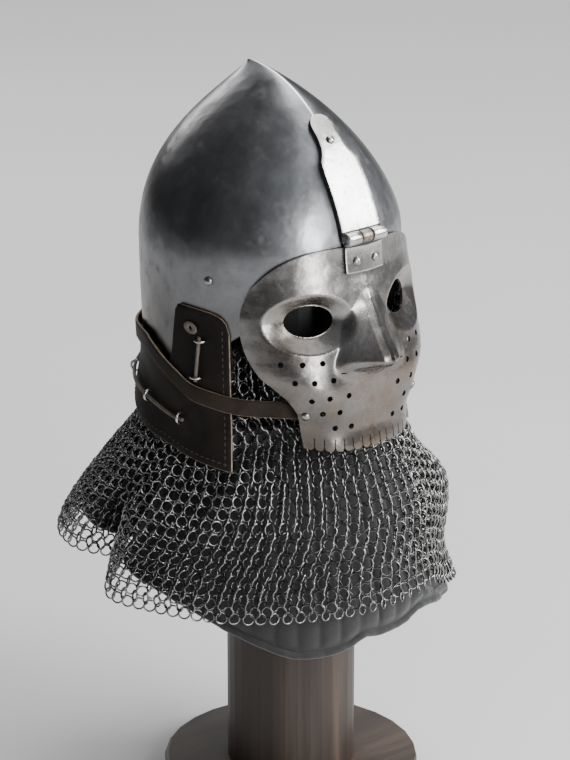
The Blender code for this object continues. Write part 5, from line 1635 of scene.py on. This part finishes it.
def ring_frames():
    """Place and axes of every ring: rows follow the hem and lean by turns to either side."""
    lines = [meridian(turn - math.pi) for turn in whole_turn(MERIDIANS)]
    reach = np.array([lengths[-1] for points, lengths in lines + lines[:1]])
    rng = random.Random(MAIL_SEED)
    frames = []
    count = 0
    for row in range(int(max(reach) / RING_ROW_PITCH)):
        travelled = RING_DIAMETER / 2 + row * RING_ROW_PITCH
        below, here, above = [
            row_points(lines, travelled + step * RING_ROW_PITCH / 2) for step in (-1, 0, 1)]
        if row % BAND_ROWS == 0:
            middle = row_points(lines, travelled + BAND_ROWS / 2 * RING_ROW_PITCH)
            count = round(middle[1][-1] / RING_PITCH)
        lean = HEM_LEAN + (RING_LEAN - HEM_LEAN) * smooth(row / 3)
        side = 1 if row % 2 else -1
        for column in range(count):
            share = ((column + 0.5 * (row % 2)) / count) % 1
            room = np.interp(share * here[1][-1], here[1], reach)
            if travelled > room - RING_DIAMETER / 4:
                continue
            place = at_share(here, share)
            up = at_share(above, share) - at_share(below, share)
            step = 0.5 / count
            along = at_share(here, (share + step) % 1) - at_share(here, (share - step) % 1)
            up /= np.linalg.norm(up)
            along -= up * np.dot(along, up)
            along /= np.linalg.norm(along)
            out = np.cross(along, up)
            tilt = side * lean + rng.uniform(-LEAN_SPREAD, LEAN_SPREAD)
            first = along * math.cos(tilt) + out * math.sin(tilt)
            nod = rng.uniform(-NOD_SPREAD, NOD_SPREAD)
            second = up * math.cos(nod) + np.cross(first, up) * math.sin(nod)
            shift = out * rng.uniform(-OUT_SPREAD, OUT_SPREAD)
            shift = shift + along * rng.uniform(-ALONG_SPREAD, ALONG_SPREAD)
            frames.append((place + shift, first, second, np.cross(first, second)))
    return frames


def at_length(points, lengths, travelled):
    """Point of a line at a length from its start."""
    return np.array([np.interp(travelled, lengths, points[:, k]) for k in range(3)])


def at_share(row, share):
    """Point of a measured row at a share of its whole length."""
    return at_length(row[0], row[1], share * row[1][-1])


def fine_mail():
    """Every ring of the curtain, as joined meshes of some of the rings each."""
    template, faces = ring_template()
    frames = ring_frames()
    frames.sort(key=lambda f: math.atan2(f[0][0], -(f[0][1] - MAIL_CENTRE_SETBACK)))
    share = (len(frames) + MAIL_PIECES - 1) // MAIL_PIECES
    for number in range(MAIL_PIECES):
        chosen = frames[number * share:(number + 1) * share]
        places = np.array([f[0] for f in chosen])
        axes = np.array([np.stack(f[1:]) for f in chosen])
        points = places[:, None, :] + np.einsum("pk,nkc->npc", template, axes)
        all_faces = faces[None, :, :] + (np.arange(len(chosen)) * len(template))[:, None, None]
        mesh = bpy.data.meshes.new("mail_rings_%d" % (number + 1))
        mesh.from_pydata(points.reshape(-1, 3).tolist(), [], all_faces.reshape(-1, 4).tolist())
        mesh.shade_smooth()
        nodes = ["mail_aventail"] if number == 0 else []
        add_piece("mail_rings_%d" % (number + 1), mesh, RING_STEEL, "mail_steel", *nodes)


# Collar
QUILT_PITCH = 0.019
QUILT_DEPTH = 0.0026
BINDING = 0.0034
SEAM_START = 2.6 * BINDING
SEAM_LENGTH = 0.045
SEAM_STITCHES = 12
PUCKERS = ((0.0003, 41), (0.0002, 97))
COLLAR_COLUMNS_FINE = 480
COLLAR_ROWS_FINE = 40


def quilt_channels():
    """How many channels of the quilting go round the collar."""
    return round(math.tau * (COLLAR_HALF_WIDTH + COLLAR_HALF_DEPTH) / 2 / QUILT_PITCH)


def quilted_point(angle, z):
    """Point on the collar's outside with its quilting."""
    wave = abs(math.sin(angle * quilt_channels() / 2))
    over_hem = z - collar_levels(angle)[1] - 2 * BINDING
    swell = smooth(over_hem / (3 * QUILT_DEPTH))
    return collar_point(angle, z, -QUILT_DEPTH * (1 - swell * wave ** 0.5))


def fine_collar():
    """The quilted collar: upright channels between seams, stitches in them and a bound hem."""
    columns = []
    for turn in whole_turn(COLLAR_COLUMNS_FINE):
        angle = turn - math.pi
        top, hem = collar_levels(angle)
        heights = [hem + (top - hem) * share ** 1.3 for share in spread(0, 1, COLLAR_ROWS_FINE + 1)]
        columns.append([quilted_point(angle, z) for z in heights])
    collar = loft_piece("padded_collar_fine", columns, PADDING, "padding", "padded_collar",
                        closed=True)
    add_shell(collar, COLLAR_WALL - QUILT_DEPTH)
    apply_modifiers(collar)
    collar.data.set_sharp_from_angle(angle=math.radians(60))
    points = []
    for turn in whole_turn(COLLAR_COLUMNS_FINE) + [math.tau]:
        angle = turn - math.pi
        z = collar_levels(angle)[1] + BINDING
        pucker = sum(depth * math.sin(turns * angle) for depth, turns in PUCKERS)
        points.append(collar_point(angle, z, -BINDING + pucker))
    tube("collar_binding", points, BINDING, 14, PADDING, "padding")
    channels = quilt_channels()
    places = []
    for channel in range(channels):
        angle = math.radians(wrap(360 * channel / channels))
        start = collar_levels(angle)[1] + SEAM_START
        for z in spread(start, start + SEAM_LENGTH, SEAM_STITCHES):
            here = quilted_point(angle, z)
            ahead = quilted_point(angle, z + SLOPE_RISE) - here
            outward = Vector((here.x, here.y - MAIL_CENTRE_SETBACK, 0)).normalized()
            places.append((here, ahead, outward))
    joined_beads("collar_stitches", places, SEAM_SIZE, SEAM_LOOK, "padding")


# CAD nodes that stay
def dress_nodes():
    """Give the nodes that are shown their own finish."""
    looks = {"hinge_pin": BRIGHT_STEEL, "stand_post": POST_WOOD, "stand_base": BASE_WOOD}
    for name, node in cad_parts.items():
        for start, mat in looks.items():
            if name.startswith(start):
                for place in node.material_slots:
                    place.material = mat


# Floor, light and camera
def make_stage():
    """Plain pale floor, flat and wide."""
    mesh = bpy.data.meshes.new("floor")
    reach = FLOOR_REACH
    corners = [(-reach, -reach, 0), (reach, -reach, 0), (reach, reach, 0), (-reach, reach, 0)]
    mesh.from_pydata(corners, [], [(0, 1, 2, 3)])
    n = Nodes("floor")
    clouds = n.noise(1.6, 3.0)
    colour = n.mix(clouds, (0.60, 0.60, 0.60, 1), (0.68, 0.68, 0.68, 1))
    mesh.materials.append(n.finish(Base_Color=colour, Roughness=0.9))
    floor = bpy.data.objects.new("floor", mesh)
    bpy.context.scene.collection.objects.link(floor)


def turned(right, forward, up):
    """Place given as seen from the camera: to its right, away from it and up."""
    sin, cos = math.sin(CAMERA_YAW), math.cos(CAMERA_YAW)
    return Vector((right * cos + forward * sin, -right * sin + forward * cos, up))


def make_lights():
    """Soft lights at the right, ahead, behind and above, and a dim surround."""
    for name, place, target, size, power in LIGHTS:
        data = bpy.data.lights.new(name, "AREA")
        data.shape = "RECTANGLE"
        data.size, data.size_y = size
        data.energy = power
        light = bpy.data.objects.new(name, data)
        bpy.context.scene.collection.objects.link(light)
        light.location = turned(*place)
        light.rotation_mode = "QUATERNION"
        aim = turned(*target) - light.location
        light.rotation_quaternion = aim.to_track_quat("-Z", "Y")
    world = bpy.data.worlds.new("surround")
    bpy.context.scene.world = world
    world.use_nodes = True
    tree = world.node_tree
    place = tree.nodes.new("ShaderNodeTexCoord").outputs["Generated"]
    toward = tree.nodes.new("ShaderNodeVectorMath")
    toward.operation = "DOT_PRODUCT"
    tree.links.new(place, toward.inputs[0])
    toward.inputs[1].default_value = turned(*SURROUND_SIDE)
    ramp = tree.nodes.new("ShaderNodeValToRGB")
    tree.links.new(toward.outputs["Value"], ramp.inputs["Fac"])
    ramp.color_ramp.elements[0].color = SURROUND_DARK
    ramp.color_ramp.elements[1].color = SURROUND_LIGHT
    tree.links.new(ramp.outputs["Color"], tree.nodes["Background"].inputs["Color"])


def make_camera():
    """Camera at the photograph's angle."""
    data = bpy.data.cameras.new("camera")
    data.sensor_fit = "VERTICAL"
    data.sensor_height = 36
    data.lens = CAMERA_LENS
    camera = bpy.data.objects.new("camera", data)
    bpy.context.scene.collection.objects.link(camera)
    camera.location = CAMERA_PLACE
    forward = turned(0, math.cos(CAMERA_PITCH), -math.sin(CAMERA_PITCH))
    camera.rotation_mode = "QUATERNION"
    camera.rotation_quaternion = forward.to_track_quat("-Z", "Y")
    bpy.context.scene.camera = camera


make_camera()
make_lights()
make_stage()
dress_nodes()
fine_skull()
fine_visor()
fine_leather()
fine_strap()
leather_stitches()
fine_hinge()
fine_rivets()
fine_lacing()
fine_collar()
fine_mail()
